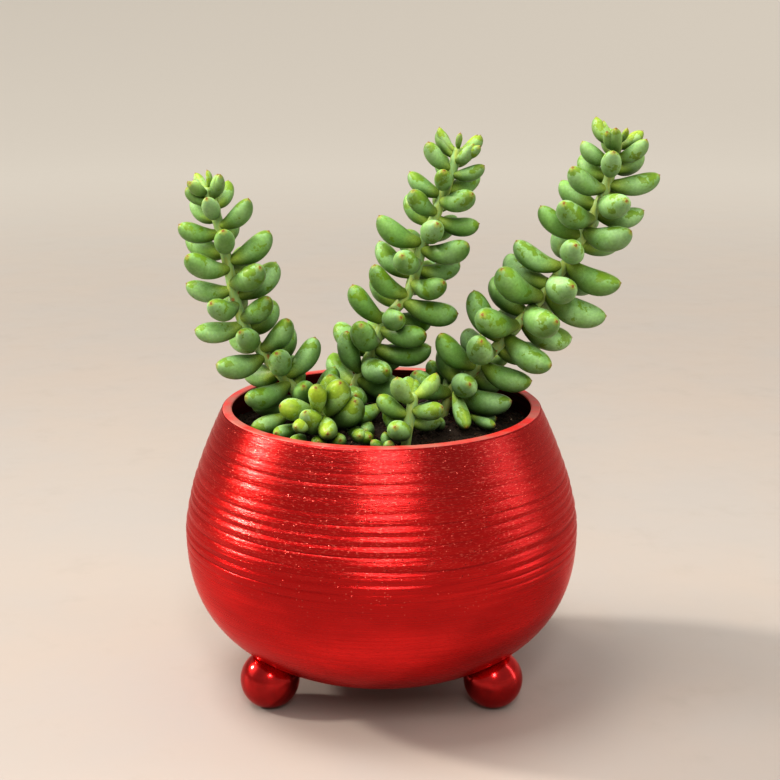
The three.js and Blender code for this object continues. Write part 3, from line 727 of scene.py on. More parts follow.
class BurrosStageLook(bpy.types.PropertyGroup):
    """Floor, lights and camera."""

    floor: colour("Floor", "Pale stone", 0.42, 0.39, 0.365)
    floor_warm: colour("Warm floor", "Warmer clouds in the stone", 0.44, 0.39, 0.35)
    floor_vein: colour("Floor vein", "Faint veins in the stone", 0.36, 0.32, 0.285)
    floor_far: colour("Far floor", "Floor far behind the plant", 0.62, 0.60, 0.565)
    surround: colour("Surround", "Light of the room", 0.96, 0.90, 0.83)
    surround_strength: number("Surround strength", "Strength of the room's light", 0.57)
    sun: number("Sun", "Strength of the warm key light", 2.3)
    front: power("Front", "over the camera", 3.1)
    top: power("Top", "over the plant", 5.8)
    left: power("Left", "on the left", 0.5)
    right: power("Right", "on the right, which is tall", 1.1)
    camera_back: millimetres("Camera distance", "How far in front of the bowl it stands", 450, 50, 5000)
    camera_up: millimetres("Camera height", "Height of the camera over the floor", 210.1, 0, 5000)
    camera_side: millimetres("Camera side", "How far right of the bowl's axis it stands", 2.6, -500, 500)
    camera_pitch: number(
        "Camera pitch", "How far the camera looks down", math.radians(14.34), subtype="ANGLE")
    lens: number("Lens", "Focal length of the camera", 69.97, 1, 1000, unit="CAMERA")


# ---- Bowl and feet ---------------------------------------------------------------------------------

KEEL_RINGS = 30
RIDGE_STEP = 0.28               # distance between the bowl's rings where its wall is ridged
INNER_RINGS = 26
BEVEL_RINGS = 4
OUTER_FINISH, RIM_FINISH, INNER_FINISH = range(3)

RIDGES_FROM = 43.0              # heights where the ridges begin and where they are deepest
RIDGES_FULL = 57.0
RIDGES_FINER = (66.0, 76.0)     # between these heights they lose a share of their depth,
FINER_LOSS = 0.55
RIDGES_FADE = (78.0, RIM_HEIGHT - 1.5)      # and between these another
FADE_LOSS = 0.6
RIDGE_WANDER = (0.55, 1.3, 0.05)    # most, and how quickly it changes round the bowl and up it
RIDGE_SWELL = (0.6, 1.6, 0.25)
MIDDLE_SWELL = 0.95
SWELL_START = 7
PITCH_DRIFT, PITCH_DRIFT_RATE = 0.6, 0.37
RIDGE_SINK = 1.3                # lowers the backs, so that the ridges lie evenly about the plain wall
FINE_RIDGES, FINE_RATE = 0.3, 2.3       # height and closeness of the finer ridges on the coarse ones
FINE_DRIFT, FINE_DRIFT_RATE = 0.7, 0.8

SEAT_HALVINGS = 14
FOOT_GAP = SEAT_GAP / 3


def wall_noise(angle, height, most, round_rate, up_rate, start=0.0):
    """A smooth uneven value on the bowl's wall."""
    east, north = math.cos(angle), math.sin(angle)
    return most * noise.noise(Vector((round_rate * east, round_rate * north, height * up_rate + start)))


def ridge_at(height, angle, look):
    """The turned ridges at a place on the wall: how many lie below it, times pi, and how deep they are."""
    wander = wall_noise(angle, height, *RIDGE_WANDER)
    drift = PITCH_DRIFT * math.sin(PITCH_DRIFT_RATE * height)
    phase = math.pi * (height + wander) / look.ridge_pitch + drift
    depth = smooth_step(RIDGES_FROM, RIDGES_FULL, height)
    depth *= 1 - FINER_LOSS * smooth_step(*RIDGES_FINER, height)
    depth *= 1 - FADE_LOSS * smooth_step(*RIDGES_FADE, height)
    return phase, depth * (MIDDLE_SWELL + wall_noise(angle, height, *RIDGE_SWELL, SWELL_START))


def ridge_backs(phase):
    """Round backs with narrow grooves between them."""
    return 2 * abs(math.sin(phase)) - RIDGE_SINK


def ridge_relief(height, phase, depth, look):
    """Height of the coarse and fine ridges over the plain wall."""
    fine_phase = FINE_RATE * phase + FINE_DRIFT * math.sin(FINE_DRIFT_RATE * height)
    return look.ridge_depth * depth * (ridge_backs(phase) + FINE_RIDGES * ridge_backs(fine_phase))


def keel_heights(depth, rings):
    """Heights from just above the bottom up to just under the belly, close together round the keel."""
    turns = [(i / rings) * (math.pi / 2) for i in range(1, rings)]
    return [BELLY_HEIGHT - depth * math.cos(turn) ** (2 / KEEL_POWER) for turn in turns]


def wall_points(heights, offset=0.0):
    """Radius and height of points on the bowl's face, with the face moved out by the offset."""
    return [(bowl_radius(height, offset), height) for height in heights]


def edge_rounding(radius, height, size, start):
    """Points of a quarter circle round a centre, from an angle on."""
    turns = [start + (math.pi / 2) * i / BEVEL_RINGS for i in range(BEVEL_RINGS + 1)]
    return [(radius + size * math.cos(t), height + size * math.sin(t)) for t in turns]


def build_bowl(look):
    size = look.rim_rounding
    top = RIM_HEIGHT - size
    depth = BELLY_HEIGHT - BOWL_BOTTOM
    keel = [h for h in keel_heights(depth, KEEL_RINGS) if h < RIDGES_FROM]
    ridged = np.linspace(RIDGES_FROM, top, round((top - RIDGES_FROM) / RIDGE_STEP))
    outside = wall_points([*keel, *ridged])
    rim = edge_rounding(RIM_RADIUS - size, top, size, 0)
    rim += edge_rounding(RIM_RADIUS - WALL + size, top, size, math.pi / 2)
    inside = wall_points(np.linspace(top, BELLY_HEIGHT, INNER_RINGS)[1:], -WALL)
    inside += wall_points(reversed(keel_heights(depth - WALL, INNER_RINGS)), -WALL)

    angles = ring_angles(look.sides)
    east, north = np.cos(angles), np.sin(angles)
    rings, phases, depths = [], [], []
    for level, (radius, height) in enumerate(outside + rim + inside):
        radii = np.full(look.sides, float(radius))
        phase, share = np.zeros(look.sides), np.zeros(look.sides)
        if level < len(outside):
            for k, angle in enumerate(angles):
                phase[k], share[k] = ridge_at(height, angle, look)
                radii[k] += ridge_relief(height, phase[k], share[k], look)
        rings.append(np.column_stack([radii * east, radii * north, np.full(look.sides, height)]))
        phases.append(phase)
        depths.append(share)

    piece = Piece()
    piece.add_rings(rings, (0, 0, BOWL_BOTTOM), (0, 0, BOWL_BOTTOM + WALL),
                    ridge_phase=np.array(phases), ridge_share=np.array(depths))
    bands = [OUTER_FINISH] * (len(outside) + 1) + [RIM_FINISH] * (len(rim) - 2)
    bands += [INNER_FINISH] * len(inside) + [OUTER_FINISH, INNER_FINISH]
    piece.finishes = [band for band in bands for _ in range(look.sides)]
    bowl = piece.make("pot_bowl", turned_metal(look), rim_metal(look), inner_metal(look))
    settle(bowl, "pot_metal", "pot")


def inside_bowl(point):
    """Whether a point is in the bowl, or within a foot's gap of it."""
    near = point[2] > BOWL_BOTTOM - FOOT_GAP
    return near and math.hypot(point[0], point[1]) < bowl_radius(point[2], FOOT_GAP)


def seated(way, centre):
    """The ball's surface in a direction, drawn in until it is clear of the bowl and of the floor."""
    reach = FOOT_RADIUS * np.array(way)
    point = centre + reach
    if inside_bowl(point):
        clear, buried = 0.0, 1.0
        for _ in range(SEAT_HALVINGS):
            middle = (clear + buried) / 2
            if inside_bowl(centre + reach * middle):
                buried = middle
            else:
                clear = middle
        point = centre + reach * clear
    return np.array((point[0], point[1], max(point[2], 0.0)))


def build_ball_foot(node, degrees, look, finish):
    """A ball whose top is dished to the bowl's curve, with a small flat spot on the floor."""
    turn = math.radians(degrees)
    centre = np.array((FOOT_CIRCLE * math.cos(turn), FOOT_CIRCLE * math.sin(turn), FOOT_HEIGHT))
    rings = []
    for i in range(1, look.ball_sides // 2):
        down = math.pi - 2 * math.pi * i / look.ball_sides
        out, up = math.sin(down), math.cos(down)
        ways = [(out * math.cos(a), out * math.sin(a), up) for a in ring_angles(look.ball_sides)]
        rings.append([seated(way, centre) for way in ways])
    piece = Piece()
    piece.add_rings(rings, seated((0, 0, -1), centre), seated((0, 0, 1), centre))
    settle(piece.make("ball_" + node, finish), "foot_metal", node)


# ---- Soil ------------------------------------------------------------------------------------------

SOIL_SIDES = 300
SOIL_RINGS = 84
SOIL_KEEL_RINGS = 12
SOIL_WALL_RINGS = 8
SOIL_GRAINS = ((0.42, 1), (0.3, 2.7), (0.22, 6.1))     # height of the grains, and how fine they are
GRAIN_RATE = 0.42
GRAIN_SLICE = 1.7
SETTLED_FROM = 0.93             # from this share of its radius outwards the soil turns smooth
SOIL_TONE = 0.3
SOIL_SEED = 517
SOIL_FINISH, GRIT_FINISH, FIBRE_FINISH = range(3)
LUMP_ROUGHNESS = 0.64
LUMP_LEAN = 1.6
FIBRE_FLATNESS = 0.45
EDGE_SLACK = 1.1
# Least size, most on top of it, and how rare the large ones are.
CRUMB_SIZES = (0.28, 0.95, 3)
GRIT_SIZES = (0.14, 0.3, 2)
FIBRE_SIZES = (0.9, 1.6, 1)


def soil_surface(x, y):
    """Height of the soil with its clods and grains."""
    here = Vector((x * GRAIN_RATE, y * GRAIN_RATE, GRAIN_SLICE))
    grains = sum(height * noise.noise(here * fineness) for height, fineness in SOIL_GRAINS)
    settled = smooth_step(1.0, SETTLED_FROM, math.hypot(x, y) / SOIL_RADIUS)
    return float(soil_mound(x, y) + settled * (soil_clods(x, y) + grains))


def lump(radius, draw, stretch):
    """An uneven grain: a ball of few faces, pushed in and out, turned and leant."""
    corners, faces = GRAIN_SHAPE
    rough = np.array([1 + LUMP_ROUGHNESS * (draw.random() - 0.5) for _ in corners])
    x, y, z = (corners * rough[:, None] * np.array(stretch) * radius).T
    spin = draw.random() * 2 * math.pi
    lean = (draw.random() - 0.5) * LUMP_LEAN
    x, y = x * math.cos(spin) - y * math.sin(spin), x * math.sin(spin) + y * math.cos(spin)
    x, z = x * math.cos(lean) - z * math.sin(lean), z * math.cos(lean) + x * math.sin(lean)
    return np.column_stack([x, y, z]), faces


def grain_shape():
    """Corners and faces of a ball with 20 faces."""
    golden = (1 + math.sqrt(5)) / 2
    corners = []
    for a in (-1, 1):
        for b in (-golden, golden):
            corners += [(0, a, b), (a, b, 0), (b, 0, a)]
    corners = np.array(corners, float)
    corners /= np.linalg.norm(corners[0])
    edge = min(np.linalg.norm(corners[0] - other) for other in corners[1:])
    near = [[np.linalg.norm(a - b) < edge * EDGE_SLACK for b in corners] for a in corners]
    faces = []
    for i, j, k in itertools.combinations(range(len(corners)), 3):
        if near[i][j] and near[j][k] and near[i][k]:
            out = np.dot(np.cross(corners[j] - corners[i], corners[k] - corners[i]), corners[i])
            faces.append((i, j, k) if out > 0 else (i, k, j))
    return corners, faces


GRAIN_SHAPE = grain_shape()


def sized(sizes, chance):
    least, more, rarity = sizes
    return least + more * chance**rarity


def crumb(chance):
    """Radius, stretch and rise over the soil of a crumb."""
    radius = sized(CRUMB_SIZES, chance)
    return radius, (1, 0.8, 0.65), 0.2 * radius


def grit_grain(chance):
    """The same of a grain of grit."""
    radius = sized(GRIT_SIZES, chance)
    return radius, (1, 1, 1), 0.7 * radius


def fibre(chance):
    """The same of a sliver."""
    return 1.0, (sized(FIBRE_SIZES, chance), 0.09, 0.08), 0.35


def strew(soil, draw, count, grain, finish, reach=0.97, flatness=1, tone_power=1):
    """Loose grains at random places, even over the soil's area."""
    for _ in range(count):
        radius = SOIL_RADIUS * reach * math.sqrt(draw.random())
        turn = 2 * math.pi * draw.random()
        x, y = radius * math.cos(turn), radius * math.sin(turn)
        size, stretch, rise = grain(draw.random())
        corners, faces = lump(size, draw, stretch)
        corners = corners * np.array((1, 1, flatness)) + np.array((x, y, soil_surface(x, y) + rise))
        soil.add(corners, faces, finish, crumb_tone=draw.random() ** tone_power)


def build_soil(look):
    inset = -WALL - SEAT_GAP
    depth = BELLY_HEIGHT - BOWL_BOTTOM + inset
    side = wall_points(keel_heights(depth, SOIL_KEEL_RINGS), inset)
    side += wall_points(np.linspace(BELLY_HEIGHT, SOIL_AT_WALL, SOIL_WALL_RINGS)[:-1], inset)
    angles = ring_angles(SOIL_SIDES)
    rings = [[(r * math.cos(a), r * math.sin(a), h) for a in angles] for r, h in side]
    for i in range(SOIL_RINGS, 0, -1):
        radius = SOIL_RADIUS * i / SOIL_RINGS
        places = [(radius * math.cos(a), radius * math.sin(a)) for a in angles]
        rings.append([(x, y, soil_surface(x, y)) for x, y in places])

    soil = Piece()
    draw = random.Random(SOIL_SEED)
    soil.add_rings(rings, (0, 0, BELLY_HEIGHT - depth), (0, 0, soil_surface(0, 0)), crumb_tone=SOIL_TONE)
    strew(soil, draw, look.crumbs, crumb, SOIL_FINISH)
    strew(soil, draw, look.grit, grit_grain, GRIT_FINISH, tone_power=2)
    strew(soil, draw, look.fibres, fibre, FIBRE_FINISH, reach=0.93, flatness=FIBRE_FLATNESS)
    settle(soil.make("soil_bed", soil_skin(look), grit_skin(look), fibre_skin(look)), "soil", "soil")


# ---- Growth of the leafy stems ---------------------------------------------------------------------


class Route:
    """The smooth curve that a stem follows from its foot in the soil to its tip."""

    def __init__(self, points):
        points = [np.array(p, float) for p in points]
        padded = [points[0] * 2 - points[1], *points, points[-1] * 2 - points[-2]]
        line = []
        for i in range(1, len(points)):
            a, b, c, d = padded[i - 1:i + 3]
            for k in range(CURVE_STEPS):
                t = k / CURVE_STEPS
                line.append(0.5 * (2 * b + (c - a) * t + (2 * a - 5 * b + 4 * c - d) * t * t
                                   + (3 * b - a - 3 * c + d) * t * t * t))
        line.append(points[-1])
        self.line = np.array(line)
        self.along = np.concatenate([[0], np.cumsum(np.linalg.norm(np.diff(self.line, axis=0), axis=1))])
        self.total = float(self.along[-1])

    def at(self, distance):
        s = min(max(distance, 0), self.total)
        i = min(int(np.searchsorted(self.along, s, side="right")) - 1, len(self.line) - 2)
        part = (s - self.along[i]) / (self.along[i + 1] - self.along[i])
        return self.line[i] + (self.line[i + 1] - self.line[i]) * part

    def axes(self, distance):
        """Directions along the stem, to its right and to its front."""
        along = unit(self.at(distance + TANGENT_REACH) - self.at(distance - TANGENT_REACH))
        right = unit(np.cross(along, (0, -1, 0)))
        return along, right, np.cross(right, along)


def leaf_profile(t, widest=LEAF_WIDEST, neck=LEAF_NECK, point=LEAF_POINT):
    """Half width along a leaf, as a share of the widest; the lower the point's value, the blunter it is."""
    t = np.asarray(t, float)
    swell = np.sin((math.pi / 2) * np.minimum(1, t / widest)) ** LEAF_SWELL_POWER
    body = neck + (1 - neck) * swell
    beyond = np.maximum(0, (t - widest) / (1 - widest))
    return body * np.maximum(0, 1 - beyond**LEAF_POINT_POWER) ** point


class Leaf:
    """A leaf in its place: its root, its chord, its upper side and its sizes."""

    def __init__(self, root, chord, upper, side, length, width, bow):
        self.root = root
        self.chord = chord
        self.upper = upper
        self.side = side
        self.size = length
        self.half_width = width * length / 2
        self.bow = bow

    def middles(self, t):
        """Points along the leaf's middle, with the direction of its upper side at each."""
        t = np.asarray(t, float)[:, None]
        sag = 4 * self.bow * t * (1 - t)
        lean = 4 * self.bow * (1 - 2 * t)
        middle = self.root + (self.chord * (self.size * t) + self.upper * (-self.size * sag))
        upper = self.upper + self.chord * lean
        return middle, upper / np.linalg.norm(upper, axis=1)[:, None]

    def balls(self):
        """Places and radii of the balls that stand for the leaf when its room is tested."""
        return self.middles(PROBES)[0], self.half_width * leaf_profile(PROBES) * LEAF_FULLNESS


class StemLeaf(Leaf):
    """A leaf on a stem, where it grew, turned and tilted by a shift."""

    def __init__(self, route, grown, shift):
        along, right, front = route.axes(grown["height"])
        turn = grown["turn"] + math.radians(shift[0])
        outward = right * math.cos(turn) + front * math.sin(turn)
        tilt = grown["tilt"] + math.radians(shift[1]) - math.radians(grown["bend"]) * outward[2]
        chord = outward * math.cos(tilt) + along * math.sin(tilt)
        upper = outward * -math.sin(tilt) + along * math.cos(tilt)
        root = route.at(grown["height"]) + outward * (STEM_RADIUS - LEAF_ROOT_DEPTH)
        length = grown["length"] * shift[2]
        super().__init__(root, chord, upper, np.cross(along, outward), length, grown["width"], grown["bow"])
        self.outward = outward
        self.below = grown["below"]
        self.height = grown["height"]


def fading(measure, distance):
    """A gap, tilt or length at a distance below the tip."""
    tip, low, slowness = measure
    return low + (tip - low) * math.exp(-distance / slowness)


def spiral_of(shoot, route):
    """The leaves of a shoot on one spiral, from its tip down."""
    draws = draws_from(shoot["seed"])
    for _ in range(FIRST_DRAWS):
        next(draws)
    leaves = []
    below = shoot["first_gap"]
    while below < route.total - shoot["bare_foot"]:
        turn_draw, tilt_draw, length_draw, bow_draw, width_draw = (next(draws) for _ in range(5))
        number = len(leaves)
        turn = shoot["phase"] + shoot["turn"] * shoot["divergence"] * number
        tilt = fading(shoot["tilt"], below)
        length = fading(shoot["length"], below)
        leaves.append({
            "below": below,
            "height": route.total - below,
            "turn": math.radians(turn + TURN_WOBBLE * turn_draw),
            "tilt": math.radians(tilt + TILT_WOBBLE * tilt_draw),
            "bend": shoot["tilt_bend"],
            "length": length * (1 + LENGTH_WOBBLE * length_draw),
            "bow": LEAF_BOW + BOW_WOBBLE * bow_draw,
            "width": shoot["plumpness"] + WIDTH_WOBBLE * width_draw,
        })
        below += fading(shoot["gap"], number)
    return leaves


def leaf_shifts():
    """Turns, tilts and length shares that bend a leaf clear, the smallest first."""
    shifts = []
    for length in LENGTH_SHARES:
        pairs = [(turn, tilt, length) for turn in TURN_SHIFTS for tilt in TILT_SHIFTS]
        shifts += sorted(pairs, key=lambda s: abs(s[0]) + abs(s[1]))
    return shifts


class Standing:
    """Balls of everything that already stands in the pot."""

    def __init__(self):
        self.places = np.zeros((0, 3))
        self.radii = np.zeros(0)
        self.owners = np.zeros(0, int)

    def add(self, places, radii, owner):
        self.places = np.vstack([self.places, places])
        self.radii = np.concatenate([self.radii, radii])
        self.owners = np.concatenate([self.owners, np.full(len(radii), owner)])

    def leaves_room(self, places, radii, owner):
        """Whether these balls are clear of the rim, the soil and every other stem."""
        x, y, z = places.T
        reach = np.sqrt(x * x + y * y) + radii + LEAF_CLEARANCE
        lowest = z - radii - LEAF_CLEARANCE
        if np.any((lowest < RIM_HEIGHT) & (reach > RIM_RADIUS - WALL)):
            return False
        if np.any(lowest < soil_mound(x, y) + SOIL_BUMP):
            return False
        other = self.owners != owner
        apart = ((places[:, None, :] - self.places[None, other, :]) ** 2).sum(2)
        room = radii[:, None] + self.radii[None, other] + LEAF_CLEARANCE
        return bool(np.all(apart > room * room))


def grown_shoots():
    """Each shoot's route and its leaves, bent clear of the other shoots."""
    routes = [Route(shoot["route"]) for shoot in SHOOTS]
    standing = Standing()
    for owner, route in enumerate(routes):
        steps = np.arange(0, route.total, STEM_PROBE_STEP)
        standing.add(np.array([route.at(s) for s in steps]), np.full(len(steps), STEM_RADIUS), owner)
    shifts = leaf_shifts()
    grown = []
    for owner, (shoot, route) in enumerate(zip(SHOOTS, routes)):
        placed = []
        for leaf_grown in spiral_of(shoot, route):
            for shift in shifts:
                leaf = StemLeaf(route, leaf_grown, shift)
                places, radii = leaf.balls()
                if standing.leaves_room(places, radii, owner):
                    placed.append(leaf)
                    standing.add(places, radii, owner)
                    break
        grown.append((shoot, route, placed))
    return grown


# ---- Fine leaves and stalks ------------------------------------------------------------------------

TIP_POINT = 0.3
FINE_FULLNESS = 0.93
FIRST_RING = 0.12               # in radians, of the half turn that goes from root to tip
WIDEST_PLACES = (0.52, 0.64)
NECKS = (0.36, 0.48)
POINTS = (0.52, 0.62)
YOUNG_POINT = 0.2
FLATS = ((0.022, 3, 0), (0.024, 2, 2.5), (0.010, 5, -4))    # height, number round a leaf, twist
CREASE_WIDTH = 0.2
CREASE_STARTS = (0.25, 0.55)
CREASE_ENDS = (0.99, 0.85)
TIP_YOUTH, TIP_YOUTH_FADE = 0.45, 4.5

HEART_LENGTHS = (9.2, 8.6, 7.4, 5.4, 3.4)
HEART_PLUMPNESS = 0.40
HEART_SINK, HEART_RISE = 1.4, 0.5       # the first stands below the tip, and each next one higher
HEART_TILT, HEART_TILT_STEP = 28, 11
HEART_YOUTH, HEART_YOUTH_STEP = 0.25, 0.15

STALK_FULLNESS = 1.25
STALK_TIP_SHARE = 0.84
STALK_STEP = 0.6
SWELL_REACH, SWELL_WIDTH, SWELL_HEIGHT = 2.4, 1.1, 0.28     # of the stalk at a leaf's root
SWELL_FACING = (0.1, 1.0)
SCAR_EVERY, SCAR_DEPTH = 3.2, 0.12
SCAR_SIZES = (0.5, 0.95)
SCAR_REACH = 2                  # in sizes of the scar
SCARS_FROM, SCARS_TO = 8, 0.75          # a distance along the stem, and a share of it
NUB_EVERY = 14
NUB_SIZES = (0.22, 0.38)
NUB_STRETCH = (1, 0.8, 1.2)
NUBS_FROM, NUBS_TO = 12, 0.6

YOUNG_SHOOTS = ("sprig_front", "shoot_front_left")
LOW_LEAVES_SEED = 88

# Place on the soil, height over it, heading, tilt, length, width by length, youth.
LOW_LEAVES = (
    (-29.0, -6.5, 4.4, 208, -14, 12.0, 0.56, 0.2),
    (-29.5, -13.0, -1.2, 300, 14, 7.6, 0.60, 0.1),
    (-9.5, -15.5, -1.0, 340, 14, 8.0, 0.62, 0.4),
    (10.5, -26.0, -1.2, 350, 10, 8.0, 0.55, 0.0),
    (1.5, -28.5, -0.4, 205, 38, 5.8, 0.62, 0.1),
    (1.5, -28.5, -0.4, 285, 42, 5.6, 0.64, 0.1),
    (2.0, -28.0, -0.4, 110, 60, 5.4, 0.60, 0.1),
    (27.0, 1.0, 1.6, 355, -2, 8.5, 0.52, 0.0),
    (22.5, -5.0, 10.5, 286, -38, 13.5, 0.40, 0.1),
    (18.0, -9.0, 1.0, 262, 26, 9.5, 0.42, 0.0),
    (15.0, 1.0, 5.0, 238, -8, 13.0, 0.46, 0.0),
    (27.5, -6.0, 3.5, 318, -6, 9.0, 0.44, 0.0),
    (-1.0, -3.0, 4.5, 232, -4, 13.5, 0.48, 0.1),
    (-3.5, -14.0, 2.2, 262, 4, 9.0, 0.54, 0.2),
    (-7.0, -19.0, 0.6, 300, 12, 8.0, 0.58, 0.3),
    (-14.0, -18.5, 0.3, 284, 10, 9.0, 0.60, 0.4),
    (-23.0, -17.0, 0.3, 254, 8, 9.5, 0.56, 0.3),
    (-9.5, -11.5, 0.6, 292, 2, 10.0, 0.52, 0.3),
    (-18.0, -19.5, 0.0, 268, 12, 8.2, 0.62, 0.4),
    (-25.5, -12.5, 2.4, 238, 2, 10.5, 0.52, 0.2),
    (-6.5, -18.0, 1.4, 272, 8, 8.6, 0.60, 0.5),
)


def add_leaf(piece, leaf, look, draw, youth):
    """One plump leaf: a narrow root, a swelling body with slight flats and a crease, and a small point."""
    t = 0.5 - 0.5 * np.cos(np.linspace(FIRST_RING, math.pi, look.leaf_rings + 1))[:-1]
    middle, upper = leaf.middles(t)
    around = ring_angles(look.leaf_sides)
    widest, neck = draw.uniform(*WIDEST_PLACES), draw.uniform(*NECKS)
    point = draw.uniform(*POINTS) + YOUNG_POINT * youth
    half = leaf.half_width * leaf_profile(t, widest, neck, point) * FINE_FULLNESS
    lift = np.where(np.sin(around) > 0, LEAF_FLATNESS, LEAF_KEEL) * np.sin(around)

    turns = [draw.uniform(0, 2 * math.pi) for _ in FLATS]
    shape = 1
    for turn, (height, lobes, twist) in zip(turns, FLATS):
        wave = np.sin(lobes * around[None, :] + turn + twist * t[:, None])
        shape = shape + height * np.sin(math.pi * t)[:, None] * wave
    deep = draw.random() ** 2
    in_crease = np.exp(-((around - math.pi / 2) / CREASE_WIDTH) ** 2)[None, :]
    in_crease = in_crease * (smooth_step(*CREASE_STARTS, t) * smooth_step(*CREASE_ENDS, t))[:, None]
    shape = shape - look.crease * deep * in_crease

    rings = middle[:, None, :] + half[:, None, None] * shape[:, :, None] * (
        leaf.side[None, None, :] * np.cos(around)[None, :, None]
        + upper[:, None, :] * lift[None, :, None])
    tip = leaf.middles([1.0])[0][0] + leaf.chord * TIP_POINT
    piece.add_rings(
        rings, leaf.root, tip,
        along=t[:, None], upper_side=np.sin(around)[None, :], leaf_tone=draw.random(), youth=youth,
        crease=deep * in_crease, from_tip=np.linalg.norm(rings - tip, axis=2))
    piece.values["from_tip"][-1][-1] = 0.0


def heart_of(shoot, route):
    """The smallest leaves, standing close round a shoot's growing tip."""
    hearts = []
    for i, length in enumerate(HEART_LENGTHS[:shoot["hearts"]]):
        grown = {
            "below": 0.0,
            "height": route.total - HEART_SINK + HEART_RISE * i,
            "turn": math.radians(shoot["phase"] + shoot["turn"] * shoot["divergence"] * (i + 0.5) * -1),
            "tilt": math.radians(HEART_TILT + HEART_TILT_STEP * i),
            "bend": 0,
            "length": length,
            "bow": LEAF_BOW,
            "width": HEART_PLUMPNESS,
        }
        hearts.append(StemLeaf(route, grown, (0, 0, 1)))
    return hearts


def draw_scars(route, draw):
    """Heights, turns and sizes of the scars where leaves have dropped."""
    highest = route.total * SCARS_TO
    return [(draw.uniform(SCARS_FROM, highest), draw.uniform(0, 2 * math.pi), draw.uniform(*SCAR_SIZES))
            for _ in range(int(route.total / SCAR_EVERY))]


def add_stalk(piece, route, leaves, look, draw):
    """The stalk, swollen under each leaf's root and sunken at its scars."""
    steps = int(route.total / STALK_STEP)
    around = ring_angles(look.stalk_sides)
    scars = draw_scars(route, draw)
    rings, scar_rings, rises = [], [], []
    for i in range(steps + 1):
        s = route.total * i / steps
        _, right, front = route.axes(s)
        out = front[None, :] * np.cos(around)[:, None] + right[None, :] * np.sin(around)[:, None]
        plain = STALK_FULLNESS * STEM_RADIUS * (1 - (1 - STALK_TIP_SHARE) * i / steps)
        radius = np.full(look.stalk_sides, plain)
        for leaf in leaves:
            gap = s - leaf.height
            if abs(gap) < SWELL_REACH:
                facing = smooth_step(*SWELL_FACING, out @ leaf.outward)
                radius += SWELL_HEIGHT * np.exp(-(gap / SWELL_WIDTH) ** 2) * facing
        scarred = np.zeros(look.stalk_sides)
        for place, turn, size in scars:
            gap = (s - place) / size
            if abs(gap) < SCAR_REACH:
                off = np.abs((around - turn + math.pi) % (2 * math.pi) - math.pi)
                near = np.exp(-(gap * gap + (STEM_RADIUS * off / size) ** 2))
                scarred = np.maximum(scarred, near)
                radius -= SCAR_DEPTH * near
        rings.append(route.at(s) + out * radius[:, None])
        scar_rings.append(scarred)
        rises.append(i / steps)
    end = route.at(route.total) + route.axes(route.total)[0] * STEM_RADIUS / 2
    piece.add_rings(rings, route.at(0), end, scar=np.array(scar_rings), rise=np.array(rises)[:, None])


def add_nubs(piece, route, draw):
    """Small off-white root nubs on the lower part of a stalk."""
    for _ in range(int(route.total / NUB_EVERY)):
        s = draw.uniform(NUBS_FROM, max(NUBS_FROM + 2, route.total * NUBS_TO))
        _, right, front = route.axes(s)
        turn = draw.uniform(0, 2 * math.pi)
        out = front * math.cos(turn) + right * math.sin(turn)
        corners, faces = lump(draw.uniform(*NUB_SIZES), draw, NUB_STRETCH)
        piece.add(corners + route.at(s) + out * STEM_RADIUS, faces, 1, scar=0.0, rise=0.0)


def low_leaf(x, y, rise, heading, tilt, length, width):
    """A leaf lying on the soil, its root at a place and a height over the mound."""
    heading, tilt = math.radians(heading), math.radians(tilt)
    ahead = np.array((math.cos(heading), math.sin(heading), 0.0))
    chord = ahead * math.cos(tilt) + np.array((0, 0, math.sin(tilt)))
    side = np.array((-ahead[1], ahead[0], 0.0))
    root = np.array((x, y, float(soil_mound(x, y)) + rise))
    return Leaf(root, chord, np.cross(chord, side), side, length, width, LEAF_BOW / 2)


def build_low_leaves(look, skins):
    """Leaves lying on the soil or half in it, under the front shoots."""
    draw = random.Random(LOW_LEAVES_SEED)
    piece = Piece()
    for *place, youth in LOW_LEAVES:
        add_leaf(piece, low_leaf(*place), look, draw, youth)
    leaves = piece.make("leaves_on_soil", skins["leaf"])
    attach(leaves, BODY)


def build_shoot(shoot, route, leaves, look, skins):
    draw = random.Random(shoot["seed"])
    foliage = Piece()
    for leaf in leaves:
        tip_youth = TIP_YOUTH * math.exp(-leaf.below / TIP_YOUTH_FADE)
        add_leaf(foliage, leaf, look, draw, shoot["youth"] + (1 - shoot["youth"]) * tip_youth)
    for place, leaf in enumerate(heart_of(shoot, route)):
        add_leaf(foliage, leaf, look, draw, HEART_YOUTH + HEART_YOUTH_STEP * place)
    stalk = Piece()
    add_stalk(stalk, route, leaves, look, draw)
    add_nubs(stalk, route, draw)

    name = shoot["name"]
    slot = "young_leaf" if name in YOUNG_SHOOTS else "leafy_stem"
    settle(foliage.make("leaves_" + name, skins["leaf"]), slot, name)
    settle(stalk.make("stalk_" + name, skins["stalk"], skins["nub"]), slot, name)


# ---- Floor, lights and camera ----------------------------------------------------------------------

FLOOR_REACH = 11.0              # metres; far off the floor rises, so that its edge never shows
FLOOR_FLAT = 3.0
FLOOR_LIFT = 2.4
FLOOR_SIDES = 64
FLOOR_RINGS = 24
LIT_HEIGHT = 0.09
LIT_PLACE = Vector((POT_AXIS_X * MM, 0, LIT_HEIGHT))
SUN_WIDTH = math.radians(7)
SENSOR_WIDTH = 36
CLIP_START, CLIP_END = 0.01, 400

